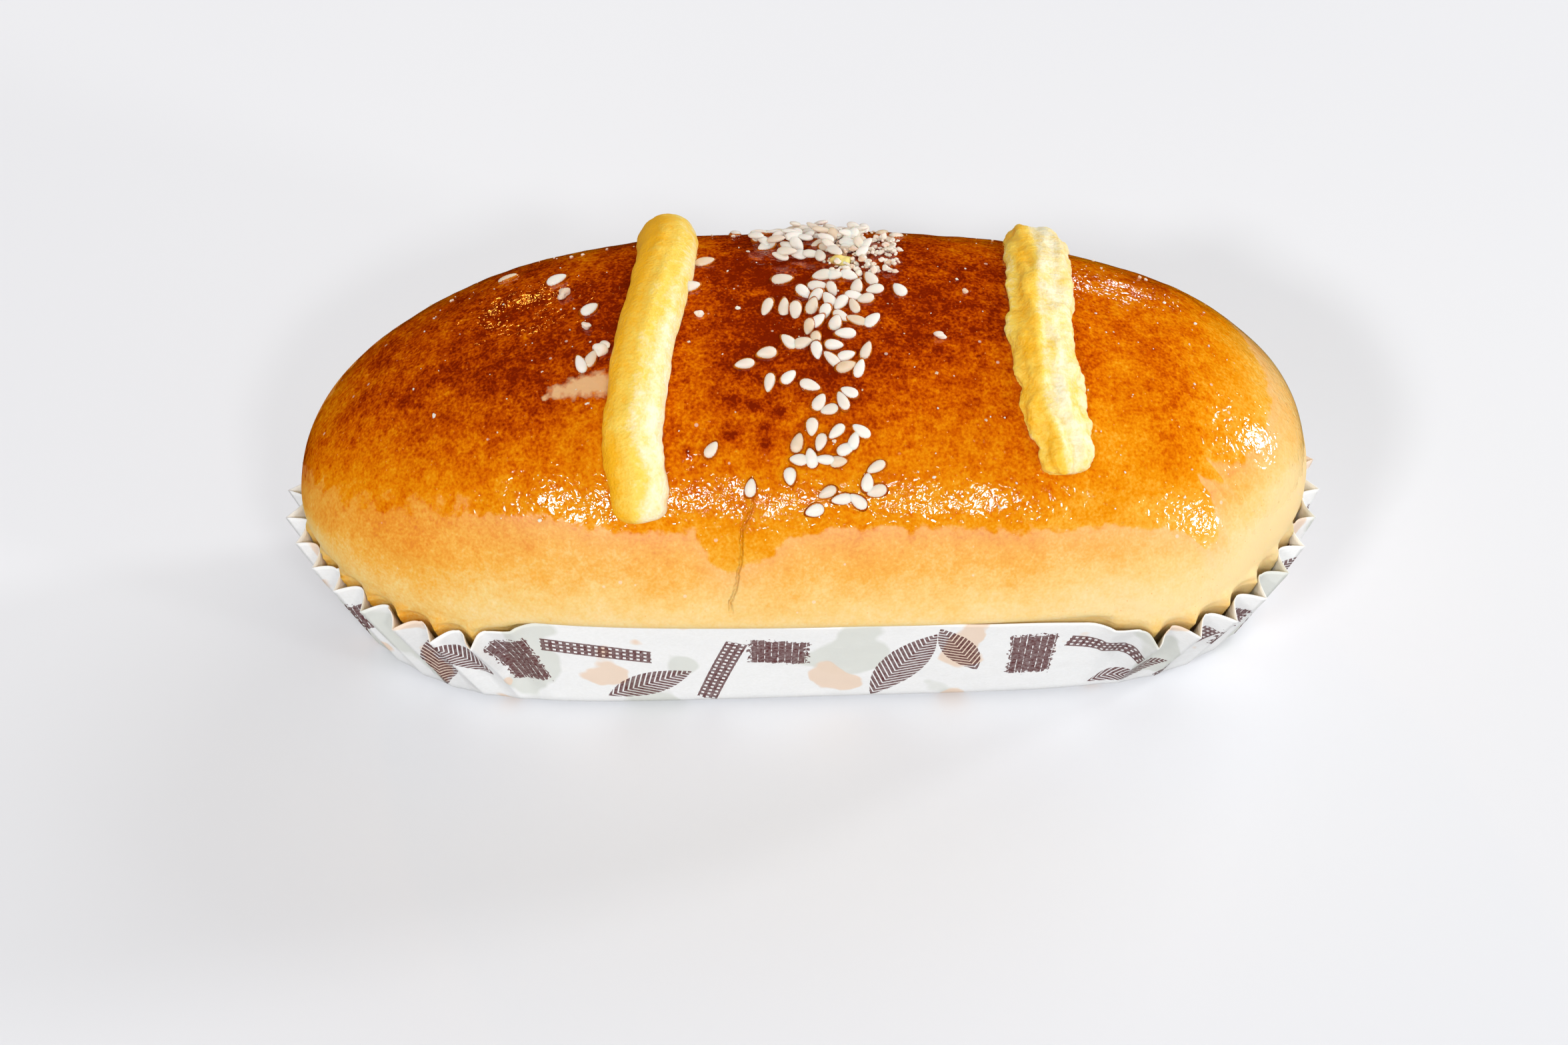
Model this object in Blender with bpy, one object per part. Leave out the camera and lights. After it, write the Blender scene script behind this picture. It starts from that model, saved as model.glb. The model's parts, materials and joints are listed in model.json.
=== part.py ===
"""Long coconut bun in a pleated paper case.

A soft enriched bun, baked in the case that it is sold in. Its lower half has the
shape of the case, and its crown swells out over the rim. Two piped strips of custard
run over the crown from front to back, and between them lies a band of sesame seeds,
thickest along the ridge, with a few crumbs of dried coconut.

Frame: origin at the centre of the case's base, X along the bun, Y towards the back,
Z up. Lengths below are in millimetres and MM turns them to metres.
"""
import math
import random

import bmesh
import bpy
import numpy as np
from mathutils import Matrix, Vector

MM = 0.001

# Bun: a swollen loaf, measured from the middle of its length.
BUN_LENGTH_LEFT = 79.0
BUN_LENGTH_RIGHT = 79.2
BUN_HALF_WIDTH = 38.5
WAIST_HEIGHT = 28.8
WAIST_RISE = 0.6
CROWN_HEIGHT = 33.3
CROWN_FALL_RIGHT = -0.06
CROWN_FALL_ENDS = -0.12
BELLY_DEPTH = 30.5
BUN_SEGMENTS = 44
BUN_RINGS = 30
RIM_LOOP_LIMITS = (3.0, 12.0)

# How full the bun is: 2 is an ellipse, more is squarer. Left end first, then right.
END_FULLNESS = (2.64, 2.70)
PLAN_FULLNESS = (2.30, 2.40)
SIDE_FULLNESS = (1.85, 2.10)
BELLY_END_FULLNESS = 3.0
CROWN_SECTION = 2.15
BELLY_SECTION = 2.40
END_BLEND = 0.25

# Paper case: half sizes of its base and of its rim.
BASE_HALF_LENGTH = 73.5
BASE_HALF_WIDTH = 25.0
BASE_SHIFT = 1.5
RIM_HALF_LENGTH = 82.3
RIM_HALF_WIDTH = 34.0
RIM_SPREAD_RIGHT = 0.04
RIM_CORNER_FLARE = 6.0
RIM_HEIGHT_SIDE = 25.5
RIM_HEIGHT_END = 24.3
CASE_PLAN_LENGTHWISE = 5.7
CASE_PLAN_CROSSWISE = 1.08
CASE_TIP_ROUNDING = 0.22
CASE_FOOT_RADIUS = 3.0
CASE_FOOT_STEPS = (0.0, 0.25, 1.0)
CASE_WALL_STEPS = (0.5, 1.0)
PAPER_WALL = 0.55
PAPER_FLOOR = 0.4

# Pleats at the two ends, with smooth sides between them.
PLEATS_PER_END = 17
PLEAT_COLUMNS = 3
PLEAT_DEPTH = 2.8
PLEAT_TIP_DROP = 0.9
PLEATS_START = 46.0
PLEATS_FADE_FROM = 42.0
PLEATS_FULL_FROM = 54.0
SIDE_COLUMNS = 12

# Air between pieces that touch in the real thing.
GAP = 0.3

# How the dough meets the case: it swells over the rim, fills the corners from the foot
# to a little above the rim, and presses against the paper below the rim.
RIM_CLEARANCE = 0.45
OVERHANG_SLOPE = 2.0
CORNER_SOFTNESS = 40.0
FILL_HEIGHT = 17.0
FILL_LIMIT = 0.15
PRESS_HEIGHT = 2.0
PRESS_SHARE = 0.02
FOOT_HEIGHT = 9.0

# Custard strips: width, height, groove depth and count, and the route over the crown
# as (angle round the bun from the back in degrees, place along X).
STRIP_LEFT_SIZE = (9.0, 3.9)
STRIP_RIGHT_SIZE = (9.8, 3.3)
STRIP_LEFT_GROOVES = (0.10, 5)
STRIP_RIGHT_GROOVES = (0.30, 7)
STRIP_LEFT_ROUTE = ((30, -20.3), (50, -20.4), (70, -20.7), (90, -22.4), (107, -24.7),
                    (122, -25.9), (131, -26.4), (140, -25.7), (148.5, -25.3))
STRIP_RIGHT_ROUTE = ((36, 38.2), (62, 37.4), (82, 36.6), (98, 36.0), (113, 36.2),
                     (123, 36.8), (131, 37.8), (139, 38.2))
STRIP_STATIONS = 30
STRIP_SIDES = 14
STRIP_END_ROUNDING = 0.07
STRIP_END_STUB = 0.06
STRIP_HEADING_STEP = 0.01

# Sesame seeds and coconut crumbs: length, width, thickness.
SEED_SIZE = (3.1, 2.05, 0.95)
SEED_STRETCH = (0.9, 1.08)
SEED_TAPER = 0.38
SEED_FULLNESS = 1.15
SEED_SUNK = 0.12
SEED_SPACING = 2.9
SEED_BAND_CENTRE = 3.0
SEED_BAND_SPREAD = 5.4
SEED_BAND_FRONT = (78, 152, 74)
SEED_BAND_BACK = (34, 74, 26)
HEAP_ANGLES = (54, 76)
HEAP_REACH = (-6.0, 15.0)
HEAP_SEEDS = 26
HEAP_SPACING = 2.1
CRUMB_RADII = (0.7, 1.3)
CRUMB_LUMPS = (0.75, 1.2)
CRUMB_LIFT = 0.3
CRUMB_COUNT = 12
STRIP_MARGIN = 7.0
RANDOM_SEED = 27
TRIES_PER_PLACE = 60

# Steps of the sums: the slope of a surface is read this far to each side, a point is
# drawn into the case within these limits, and the rim is measured in this many steps.
SLOPE_STEP = 0.002
FIT_LIMITS = (0.2, 3.0)
FIT_STEPS = 26
RIM_STEPS = 4001

# Finishes: linear base colour, roughness, metallic.
CRUST = ((0.47, 0.17, 0.025), 0.35, 0.0)
CUSTARD = ((0.90, 0.72, 0.24), 0.45, 0.0)
GREASEPROOF_PAPER = ((0.86, 0.85, 0.82), 0.40, 0.0)


def clear_scene():
    """Remove every object, so that the file starts empty."""
    for item in list(bpy.data.objects):
        bpy.data.objects.remove(item, do_unlink=True)


def ease(value):
    """Smooth step from 0 to 1."""
    value = np.clip(value, 0.0, 1.0)
    return value * value * (3.0 - 2.0 * value)


def pleating(x):
    """How pleated the case is at x: 0 along the smooth sides, 1 at the ends."""
    return ease((np.abs(x) - PLEATS_FADE_FROM) / (PLEATS_FULL_FROM - PLEATS_FADE_FROM))


def rim_height(x):
    """Height of the case's rim at x."""
    return RIM_HEIGHT_SIDE + (RIM_HEIGHT_END - RIM_HEIGHT_SIDE) * pleating(x)


def case_plan(x, up):
    """Half length, half width and shift of the case's plan, up from 0 (base) to 1 (rim)."""
    half_length = BASE_HALF_LENGTH + (RIM_HALF_LENGTH - BASE_HALF_LENGTH) * up
    rim_width = RIM_HALF_WIDTH + RIM_SPREAD_RIGHT * x + RIM_CORNER_FLARE * pleating(x)
    half_width = BASE_HALF_WIDTH + (rim_width - BASE_HALF_WIDTH) * up
    return half_length, half_width, BASE_SHIFT * (1.0 - up)


def case_bow(share):
    """Share of the half width left at a place on the half length, from -1 to 1."""
    straight = np.clip(1.0 - np.abs(share) ** CASE_PLAN_LENGTHWISE, 0.0, 1.0)
    straight = straight ** (1.0 / CASE_PLAN_CROSSWISE)
    soft = 2.0 * CASE_TIP_ROUNDING
    return np.sqrt((straight ** 2 + soft * straight) / (1.0 + soft))


def case_reach(along, across):
    """1 on the case's plan outline, less inside it, for shares of half length and width."""
    rounded = np.sqrt(across ** 2 * (1.0 + 2.0 * CASE_TIP_ROUNDING) + CASE_TIP_ROUNDING ** 2)
    return (np.abs(along) ** CASE_PLAN_LENGTHWISE
            + (rounded - CASE_TIP_ROUNDING) ** CASE_PLAN_CROSSWISE)


def share_inside_case(points, spread):
    """Share of each point's place where it meets the case's inner folds, widened by spread."""
    x, y, z = points.T
    room = spread - PAPER_WALL - GAP
    low, high = (np.full(len(points), limit) for limit in FIT_LIMITS)
    for _ in range(FIT_STEPS):
        middle = (low + high) / 2.0
        along = middle * x
        up = np.clip(z / rim_height(along), 0.0, 1.0)
        half_length, half_width, shift = case_plan(along, up)
        half_length = half_length - PLEAT_DEPTH * up + room
        half_width = half_width - PLEAT_DEPTH * up * pleating(along) + room
        outside = case_reach((along - shift) / half_length, middle * y / half_width) > 1.0
        high = np.where(outside, middle, high)
        low = np.where(outside, low, middle)
    return low


def into_case(points):
    """Fit points to the case: drawn in where they would cross it, swollen where it has room."""
    x, y = points[:, 0], points[:, 1]
    z = np.maximum(points[:, 2], PAPER_FLOOR + GAP)
    points = np.stack([x, y, z], axis=-1)
    above = z - rim_height(x)
    spread = np.clip(above - RIM_CLEARANCE, 0.0, None) * OVERHANG_SLOPE
    limit = share_inside_case(points, spread)
    room = np.clip(share_inside_case(points, 0.0) - 1.0, 0.0, FILL_LIMIT)
    swell = room * (1.0 - ease(above / FILL_HEIGHT)) + PRESS_SHARE * (1.0 - ease(above / PRESS_HEIGHT))
    swollen = 1.0 + swell * ease(z / FOOT_HEIGHT)
    scale = -np.logaddexp(-CORNER_SOFTNESS * swollen, -CORNER_SOFTNESS * limit) / CORNER_SOFTNESS
    return np.stack([x * scale, y * scale, z], axis=-1)


def bun_girth(along):
    """Share of the full girth at a place on the length: 1 in the middle, 0 at the ends."""
    fullness = np.where(along < 0.0, *END_FULLNESS)
    return np.sqrt(np.clip(1.0 - np.abs(along) ** fullness, 0.0, 1.0))


def bun_length(along):
    """Half length on the side of the middle that along lies on."""
    return np.where(along < 0.0, BUN_LENGTH_LEFT, BUN_LENGTH_RIGHT)


def bun_surface(along, angle):
    """Points of the bun's skin.

    along is the place on the length, -1 (left end) to 1 (right end), and angle goes
    round the bun's length: 0 at the back, 90 degrees on top, 180 degrees at the front.
    """
    girth = bun_girth(along)
    right_share = 0.5 + 0.5 * np.tanh(along / END_BLEND)
    plan = PLAN_FULLNESS[0] + (PLAN_FULLNESS[1] - PLAN_FULLNESS[0]) * right_share
    side = SIDE_FULLNESS[0] + (SIDE_FULLNESS[1] - SIDE_FULLNESS[0]) * right_share
    crown = CROWN_HEIGHT * (1.0 + CROWN_FALL_RIGHT * along + CROWN_FALL_ENDS * along ** 2)
    cosine, sine = np.cos(angle), np.sin(angle)
    upper = sine >= 0.0
    section = np.where(upper, CROWN_SECTION, BELLY_SECTION)
    rise = np.where(upper, crown * girth ** (2.0 / side),
                    BELLY_DEPTH * girth ** (2.0 / BELLY_END_FULLNESS))
    radius = (np.abs(cosine) ** section + np.abs(sine) ** section) ** (-1.0 / section)
    points = np.stack([bun_length(along) * along + 0.0 * angle,
                       radius * cosine * girth ** (2.0 / plan) * BUN_HALF_WIDTH,
                       WAIST_HEIGHT + WAIST_RISE * along + radius * sine * rise], axis=-1)
    return into_case(points)


def bun_place(x, degrees):
    """One point of the skin and its outward normal, for x and an angle in degrees."""
    along = x / (BUN_LENGTH_LEFT if x < 0.0 else BUN_LENGTH_RIGHT)
    angle = math.radians(degrees)
    ahead, behind = along + SLOPE_STEP, along - SLOPE_STEP
    samples = bun_surface(np.array([along, ahead, behind, along, along]),
                          np.array([angle, angle, angle, angle + SLOPE_STEP, angle - SLOPE_STEP]))
    lengthwise = Vector(samples[1] - samples[2])
    crosswise = Vector(samples[3] - samples[4])
    return Vector(samples[0]), crosswise.cross(lengthwise).normalized()


def finish(name, colour, roughness, metallic):
    """Principled material of one finish."""
    material = bpy.data.materials.new(name)
    material.use_nodes = True
    shader = material.node_tree.nodes["Principled BSDF"]
    shader.inputs["Base Color"].default_value = (*colour, 1.0)
    shader.inputs["Roughness"].default_value = roughness
    shader.inputs["Metallic"].default_value = metallic
    return material


def add_object(name, mesh_data, material):
    """Turn a bmesh in millimetres into a smooth-shaded object in metres."""
    bmesh.ops.scale(mesh_data, vec=(MM, MM, MM), verts=mesh_data.verts)
    mesh = bpy.data.meshes.new(name)
    mesh_data.to_mesh(mesh)
    mesh_data.free()
    mesh.materials.append(material)
    mesh.shade_smooth()
    item = bpy.data.objects.new(name, mesh)
    bpy.context.scene.collection.objects.link(item)
    return item


def crease_loop_at_rim(along, angle):
    """Move the first loop below the waist to the rim, where the bun starts to overhang it."""
    step = 360.0 / BUN_SEGMENTS
    dip = np.degrees(np.arcsin(np.clip(-np.sin(angle), -1.0, 1.0)))
    drop = WAIST_HEIGHT + WAIST_RISE * along - rim_height(bun_length(along) * along) - GAP
    depth = np.maximum(BELLY_DEPTH * bun_girth(along) ** (2.0 / BELLY_END_FULLNESS), drop + 1.0)
    at_rim = np.clip(np.degrees(np.arcsin(drop / depth)), *RIM_LOOP_LIMITS)
    dip = np.where(np.abs(dip - step) < 0.01 * step, at_rim, dip)
    return np.where(np.cos(angle) > 0.0, -np.radians(dip), math.pi + np.radians(dip))


def build_bun_body(material):
    """The bare bun: a sphere with its poles at the two ends, swollen to the loaf's form."""
    loaf = bmesh.new()
    bmesh.ops.create_uvsphere(loaf, u_segments=BUN_SEGMENTS, v_segments=BUN_RINGS, radius=1.0,
                              matrix=Matrix.Rotation(math.radians(90.0), 4, "Y"))
    directions = np.array([vertex.co for vertex in loaf.verts], dtype=float)
    ends = np.where(directions[:, 0] < 0.0, *END_FULLNESS)
    along = np.sign(directions[:, 0]) * np.abs(directions[:, 0]) ** (2.0 / ends)
    along = np.clip(along, -1.0, 1.0)
    angle = crease_loop_at_rim(along, np.arctan2(directions[:, 2], directions[:, 1]))
    for vertex, point in zip(loaf.verts, bun_surface(along, angle)):
        vertex.co = point
    bmesh.ops.recalc_face_normals(loaf, faces=loaf.faces)
    return add_object("bun", loaf, material)


def lying_on_bun(x, degrees, turn, lift):
    """Matrix that lays a small thing on the crust, turned about the normal and lifted."""
    point, normal = bun_place(x, degrees)
    across = normal.cross(Vector((1.0, 0.0, 0.0))).normalized()
    frame = Matrix((across.cross(normal), across, normal)).transposed().to_4x4()
    place = Matrix.Translation(point + normal * lift)
    return place @ frame @ Matrix.Rotation(turn, 4, "Z")


def build_seed(matrix, stretch, material):
    """One sesame seed: a flat drop, rounded at one end and drawn to a point at the other."""
    seed = bmesh.new()
    bmesh.ops.create_uvsphere(seed, u_segments=6, v_segments=3, radius=0.5,
                              matrix=Matrix.Rotation(math.radians(90.0), 4, "Y"))
    for vertex in seed.verts:
        narrowing = SEED_FULLNESS * (1.0 - SEED_TAPER * (vertex.co.x + 0.5))
        vertex.co.x *= SEED_SIZE[0] * stretch
        vertex.co.y *= SEED_SIZE[1] * narrowing
        vertex.co.z *= SEED_SIZE[2] * narrowing
    seed.transform(matrix)
    return add_object("topping", seed, material)


def build_crumb(matrix, radius, draw, material):
    """One crumb of dried coconut: a small uneven lump."""
    crumb = bmesh.new()
    bmesh.ops.create_icosphere(crumb, subdivisions=1, radius=radius)
    for vertex in crumb.verts:
        vertex.co *= draw.uniform(*CRUMB_LUMPS)
    crumb.transform(matrix)
    return add_object("topping", crumb, material)


def strip_x(route, degrees):
    """Place along X of a strip's middle line at an angle round the bun."""
    angles, places = zip(*route)
    return float(np.interp(degrees, angles, places))


def clear_of_strips(x, degrees):
    """True where a topping stays beside both custard strips."""
    return all(abs(x - strip_x(route, degrees)) > STRIP_MARGIN
               for route in (STRIP_LEFT_ROUTE, STRIP_RIGHT_ROUTE))


def scatter(draw, taken, count, angles, pick_x, spacing):
    """Draw places on the crust that keep their distance, as (x, degrees)."""
    found = []
    for _ in range(count * TRIES_PER_PLACE):
        if len(found) == count:
            break
        x, degrees = pick_x(), draw.uniform(*angles)
        point, _ = bun_place(x, degrees)
        near = any((point - other).length < spacing for other in taken)
        if near or not clear_of_strips(x, degrees):
            continue
        taken.append(point)
        found.append((x, degrees))
    return found


def build_toppings(material):
    """Seeds of the heap on the ridge and of the band down both sides, then the crumbs."""
    draw = random.Random(RANDOM_SEED)
    taken = []

    def band_x():
        return draw.gauss(SEED_BAND_CENTRE, SEED_BAND_SPREAD)

    def heap_x():
        return draw.uniform(*HEAP_REACH)

    places = scatter(draw, taken, HEAP_SEEDS, HEAP_ANGLES, heap_x, HEAP_SPACING)
    for first, last, count in (SEED_BAND_FRONT, SEED_BAND_BACK):
        places += scatter(draw, taken, count, (first, last), band_x, SEED_SPACING)
    toppings = []
    for x, degrees in places:
        turn = draw.uniform(0.0, math.tau)
        matrix = lying_on_bun(x, degrees, turn, SEED_SUNK)
        toppings.append(build_seed(matrix, draw.uniform(*SEED_STRETCH), material))
    for x, degrees in scatter(draw, taken, CRUMB_COUNT, HEAP_ANGLES, heap_x, HEAP_SPACING):
        radius = draw.uniform(*CRUMB_RADII)
        matrix = lying_on_bun(x, degrees, 0.0, radius * CRUMB_LIFT)
        toppings.append(build_crumb(matrix, radius, draw, material))
    return toppings


def fuse(body, toppings):
    """Join the toppings to the body with one Boolean union, applied, and remove them."""
    scatter_collection = bpy.data.collections.new("toppings")
    for topping in toppings:
        scatter_collection.objects.link(topping)
    union = body.modifiers.new("toppings", "BOOLEAN")
    union.operation = "UNION"
    union.operand_type = "COLLECTION"
    union.collection = scatter_collection
    union.solver = "EXACT"
    evaluated = body.evaluated_get(bpy.context.evaluated_depsgraph_get())
    joined = bpy.data.meshes.new_from_object(evaluated)
    body.modifiers.clear()
    body.data = joined
    joined.name = body.name
    for topping in toppings:
        bpy.data.objects.remove(topping, do_unlink=True)
    bpy.data.collections.remove(scatter_collection)


def smooth_route(route, station):
    """Angle and x on the smooth curve through a strip's route, station from 0 to 1."""
    last = len(route) - 1
    index = min(int(station * last), last - 1)
    share = station * last - index
    before, start, end, after = (np.array(route[min(max(index + offset, 0), last)], dtype=float)
                                 for offset in (-1, 0, 1, 2))
    bend = share * (3.0 * (start - end) + after - before)
    bend = share * (2.0 * before - 5.0 * start + 4.0 * end - after + bend)
    return start + 0.5 * share * (end - before + bend)


def strip_section(place, normal, across, size, grooves, scale):
    """Corners of one cut through a strip: a grooved half round standing on the crust."""
    width, height = size
    depth, count = grooves
    corners = []
    for index in range(STRIP_SIDES):
        turn = math.pi * index / (STRIP_SIDES - 1)
        groove = depth * (1.0 - math.cos(2.0 * count * turn)) * math.sin(turn)
        ridge = 1.0 - groove / height
        side = across * (0.5 * width * scale * math.cos(turn) * ridge)
        lift = normal * (GAP + height * scale * math.sin(turn) * ridge)
        corners.append(place + side + lift)
    return corners


def build_strip(name, route, size, grooves, material):
    """One piped custard strip: grooved cuts along its route, bridged and closed at its ends."""
    strip = bmesh.new()
    rings = []
    for index in range(STRIP_STATIONS + 1):
        station = index / STRIP_STATIONS
        degrees, x = smooth_route(route, station)
        ahead = smooth_route(route, min(station + STRIP_HEADING_STEP, 1.0))
        behind = smooth_route(route, max(station - STRIP_HEADING_STEP, 0.0))
        place, normal = bun_place(x, degrees)
        heading = bun_place(ahead[1], ahead[0])[0] - bun_place(behind[1], behind[0])[0]
        across = heading.cross(normal).normalized()
        to_end = min(station, 1.0 - station) / STRIP_END_ROUNDING
        to_end = STRIP_END_STUB + (1.0 - STRIP_END_STUB) * to_end
        scale = math.sqrt(1.0 - (1.0 - min(to_end, 1.0)) ** 2)
        corners = strip_section(place, normal, across, size, grooves, scale)
        rings.append([strip.verts.new(corner) for corner in corners])
    for ring, following in zip(rings, rings[1:]):
        for side in range(STRIP_SIDES):
            after = (side + 1) % STRIP_SIDES
            strip.faces.new((ring[side], ring[after], following[after], following[side]))
    strip.faces.new(rings[0])
    strip.faces.new(rings[-1])
    bmesh.ops.recalc_face_normals(strip, faces=strip.faces)
    return add_object(name, strip, material)


def case_columns():
    """Columns round the case, as (place on the half length, side, pleat phase).

    The places lie evenly along the rim: wide steps on the smooth sides, and
    PLEAT_COLUMNS steps to a pleat at the ends. The phase is 0 on an outer fold.
    """
    turns = np.linspace(-math.pi / 2.0, math.pi / 2.0, RIM_STEPS)
    share = np.sin(turns)
    x, y = rim_outline(share)
    travelled = np.concatenate([[0.0], np.cumsum(np.hypot(np.diff(x), np.diff(y)))])
    left_end = float(np.interp(-PLEATS_START, x, travelled))
    right_end = float(np.interp(PLEATS_START, x, travelled))
    per_half = PLEATS_PER_END * PLEAT_COLUMNS // 2
    half_pleats = PLEATS_PER_END / 2.0
    stops = []
    for index in range(per_half + 1):
        phase = index / PLEAT_COLUMNS
        stops.append((left_end * (1.0 - phase / half_pleats), phase))
    left_stops = [stop for stop in reversed(stops) if stop[0] > 0.0]
    side_stops = [(left_end + (right_end - left_end) * index / SIDE_COLUMNS, 0.0)
                  for index in range(1, SIDE_COLUMNS)]
    total = travelled[-1]
    right_stops = [(right_end + (total - right_end) * phase / half_pleats, phase)
                   for place, phase in stops if place > 0.0]
    half = left_stops + side_stops + right_stops
    places = [(math.sin(float(np.interp(stop, travelled, turns))), phase) for stop, phase in half]
    front = [(place, -1.0, phase) for place, phase in places]
    back = [(place, 1.0, phase) for place, phase in reversed(places)]
    return front + back


def rim_outline(share):
    """Front half of the rim's plan for places along the half length, before pleating."""
    x = RIM_HALF_LENGTH * share
    _, half_width, _ = case_plan(x, 1.0)
    return x, half_width * case_bow(share)


def case_wall_point(column, up):
    """Point of the smooth outer wall before pleating, and the inward direction there."""
    share, side, _ = column

    def plan_point(place):
        place = min(max(place, -1.0), 1.0)
        half_length, _, shift = case_plan(0.0, up)
        x = half_length * place + shift
        _, half_width, _ = case_plan(x, up)
        return Vector((x, side * half_width * float(case_bow(place)), 0.0))

    along = plan_point(share + SLOPE_STEP) - plan_point(share - SLOPE_STEP)
    inward = Vector((along.y * side, -along.x * side, 0.0)).normalized()
    return plan_point(share), inward


def case_point(column, up, height, inset):
    """Point of the pleated wall: up is the share of the height, inset goes inwards."""
    point, inward = case_wall_point(column, up)
    fold = abs(math.sin(math.pi * column[2]))
    pleated = float(pleating(point.x))
    point = point + inward * (PLEAT_DEPTH * up * pleated * fold + inset)
    drop = PLEAT_TIP_DROP * up * pleated * (1.0 - fold)
    point.z = height - drop
    return point


def case_levels():
    """Levels of the wall from foot to rim, as (share of the height, inset)."""
    levels = []
    for step in CASE_FOOT_STEPS:
        inset = CASE_FOOT_RADIUS * (1.0 - math.sqrt(1.0 - (1.0 - step) ** 2))
        levels.append((CASE_FOOT_RADIUS * step / RIM_HEIGHT_SIDE, inset))
    levels += [(step, 0.0) for step in CASE_WALL_STEPS]
    return levels


def build_case(material):
    """The paper case: outer skin, inner skin and the rim between them, one closed shell."""
    case = bmesh.new()
    columns = case_columns()
    outer, inner = [], []
    for up, inset in case_levels():
        outer_ring, inner_ring = [], []
        for column in columns:
            height = float(rim_height(case_wall_point(column, 1.0)[0].x)) * up
            outer_ring.append(case.verts.new(case_point(column, up, height, inset)))
            floor_share = PAPER_FLOOR * (1.0 - up) ** 4
            point = case_point(column, up, height, inset + PAPER_WALL)
            point.z += floor_share
            inner_ring.append(case.verts.new(point))
        outer.append(outer_ring)
        inner.append(inner_ring)
    rings = outer + inner[::-1]
    for ring, following in zip(rings, rings[1:]):
        for index in range(len(columns)):
            after = (index + 1) % len(columns)
            case.faces.new((ring[index], ring[after], following[after], following[index]))
    case.faces.new(outer[0])
    case.faces.new(inner[0])
    bmesh.ops.recalc_face_normals(case, faces=case.faces)
    return add_object("paper_case", case, material)


def main():
    """Build the bun with its toppings, the two strips and the case."""
    clear_scene()
    crust = finish("baked_crust", *CRUST)
    custard = finish("piped_custard", *CUSTARD)
    paper = finish("greaseproof_paper", *GREASEPROOF_PAPER)
    bun = build_bun_body(crust)
    fuse(bun, build_toppings(crust))
    build_strip("custard_strip_left", STRIP_LEFT_ROUTE, STRIP_LEFT_SIZE, STRIP_LEFT_GROOVES,
                custard)
    build_strip("custard_strip_right", STRIP_RIGHT_ROUTE, STRIP_RIGHT_SIZE, STRIP_RIGHT_GROOVES,
                custard)
    build_case(paper)


main()
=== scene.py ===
"""Looks of a long coconut bun in its paper case.

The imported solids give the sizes: an egg-glazed bun, two piped custard strips and a
pleated case of greaseproof paper. This script dresses them. It replaces each solid with
a finer piece of the same form, adds the sesame seeds and coconut crumbs, and sets a pale
floor, soft studio light and a camera.

Lengths in the classes are in millimetres and MM turns them to the frame's metres. X runs
along the bun, Y towards its back and Z up. Pixels are those of the 2352 x 1568 photograph.
"""
from __future__ import annotations

import json
import logging
import math
import random
from dataclasses import dataclass, field
from enum import Enum
from functools import partial
from typing import Any, Callable, Iterable, Sequence

import bmesh
import bpy
import numpy as np
from mathutils import Matrix, Vector, kdtree, noise
from mathutils.bvhtree import BVHTree

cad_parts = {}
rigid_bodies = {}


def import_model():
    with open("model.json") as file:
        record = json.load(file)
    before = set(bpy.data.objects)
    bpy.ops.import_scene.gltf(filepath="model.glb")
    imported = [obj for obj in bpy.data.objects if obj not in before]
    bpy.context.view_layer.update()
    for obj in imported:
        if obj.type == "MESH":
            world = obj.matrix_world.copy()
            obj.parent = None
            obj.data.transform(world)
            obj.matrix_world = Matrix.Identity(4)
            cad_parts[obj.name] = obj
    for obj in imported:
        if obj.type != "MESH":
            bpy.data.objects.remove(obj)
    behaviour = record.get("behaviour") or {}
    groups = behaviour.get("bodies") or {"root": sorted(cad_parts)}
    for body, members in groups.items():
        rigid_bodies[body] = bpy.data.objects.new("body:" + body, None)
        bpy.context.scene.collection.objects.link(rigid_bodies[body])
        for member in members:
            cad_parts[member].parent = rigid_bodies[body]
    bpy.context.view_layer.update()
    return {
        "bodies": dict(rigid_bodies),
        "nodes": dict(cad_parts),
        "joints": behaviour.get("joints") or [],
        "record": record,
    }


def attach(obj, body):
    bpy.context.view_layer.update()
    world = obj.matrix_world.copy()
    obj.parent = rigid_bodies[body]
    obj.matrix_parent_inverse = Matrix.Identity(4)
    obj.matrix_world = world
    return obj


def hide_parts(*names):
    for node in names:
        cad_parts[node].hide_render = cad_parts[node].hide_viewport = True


MM = 0.001
BODY = "root"
Pixel = tuple[int, int]
Pair = tuple[float, float]
Array = np.ndarray
Piece = bpy.types.Object
Link = bpy.types.Node | bpy.types.NodeSocket
AddNode = Callable[..., bpy.types.Node]

log = logging.getLogger("coconut_bun")


class Slot(Enum):
    """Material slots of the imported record."""

    CRUST = "crust"
    CUSTARD = "custard"
    PAPER = "greaseproof_paper"


class Axis(Enum):
    """Directions that the edges of a primitive run along."""

    X = 0
    Y = 1
    Z = 2


# ---- small helpers


def linear(hex_colour: str) -> tuple[float, float, float, float]:
    """Turn an sRGB hex colour into a linear RGBA colour.

    Args:
        hex_colour: Colour such as #a1b2c3.

    Returns:
        Red, green, blue and an alpha of 1.
    """
    channels = [int(hex_colour[start:start + 2], 16) / 255.0 for start in (1, 3, 5)]
    curved = [value / 12.92 if value <= 0.04045 else ((value + 0.055) / 1.055) ** 2.4
              for value in channels]
    return (*curved, 1.0)


def ease(value: Array | float, low: float = 0.0, high: float = 1.0) -> Array:
    """Smooth step that is 0 below low and 1 above high."""
    share = np.clip((np.asarray(value, dtype=float) - low) / (high - low), 0.0, 1.0)
    return share * share * (3.0 - 2.0 * share)


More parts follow.
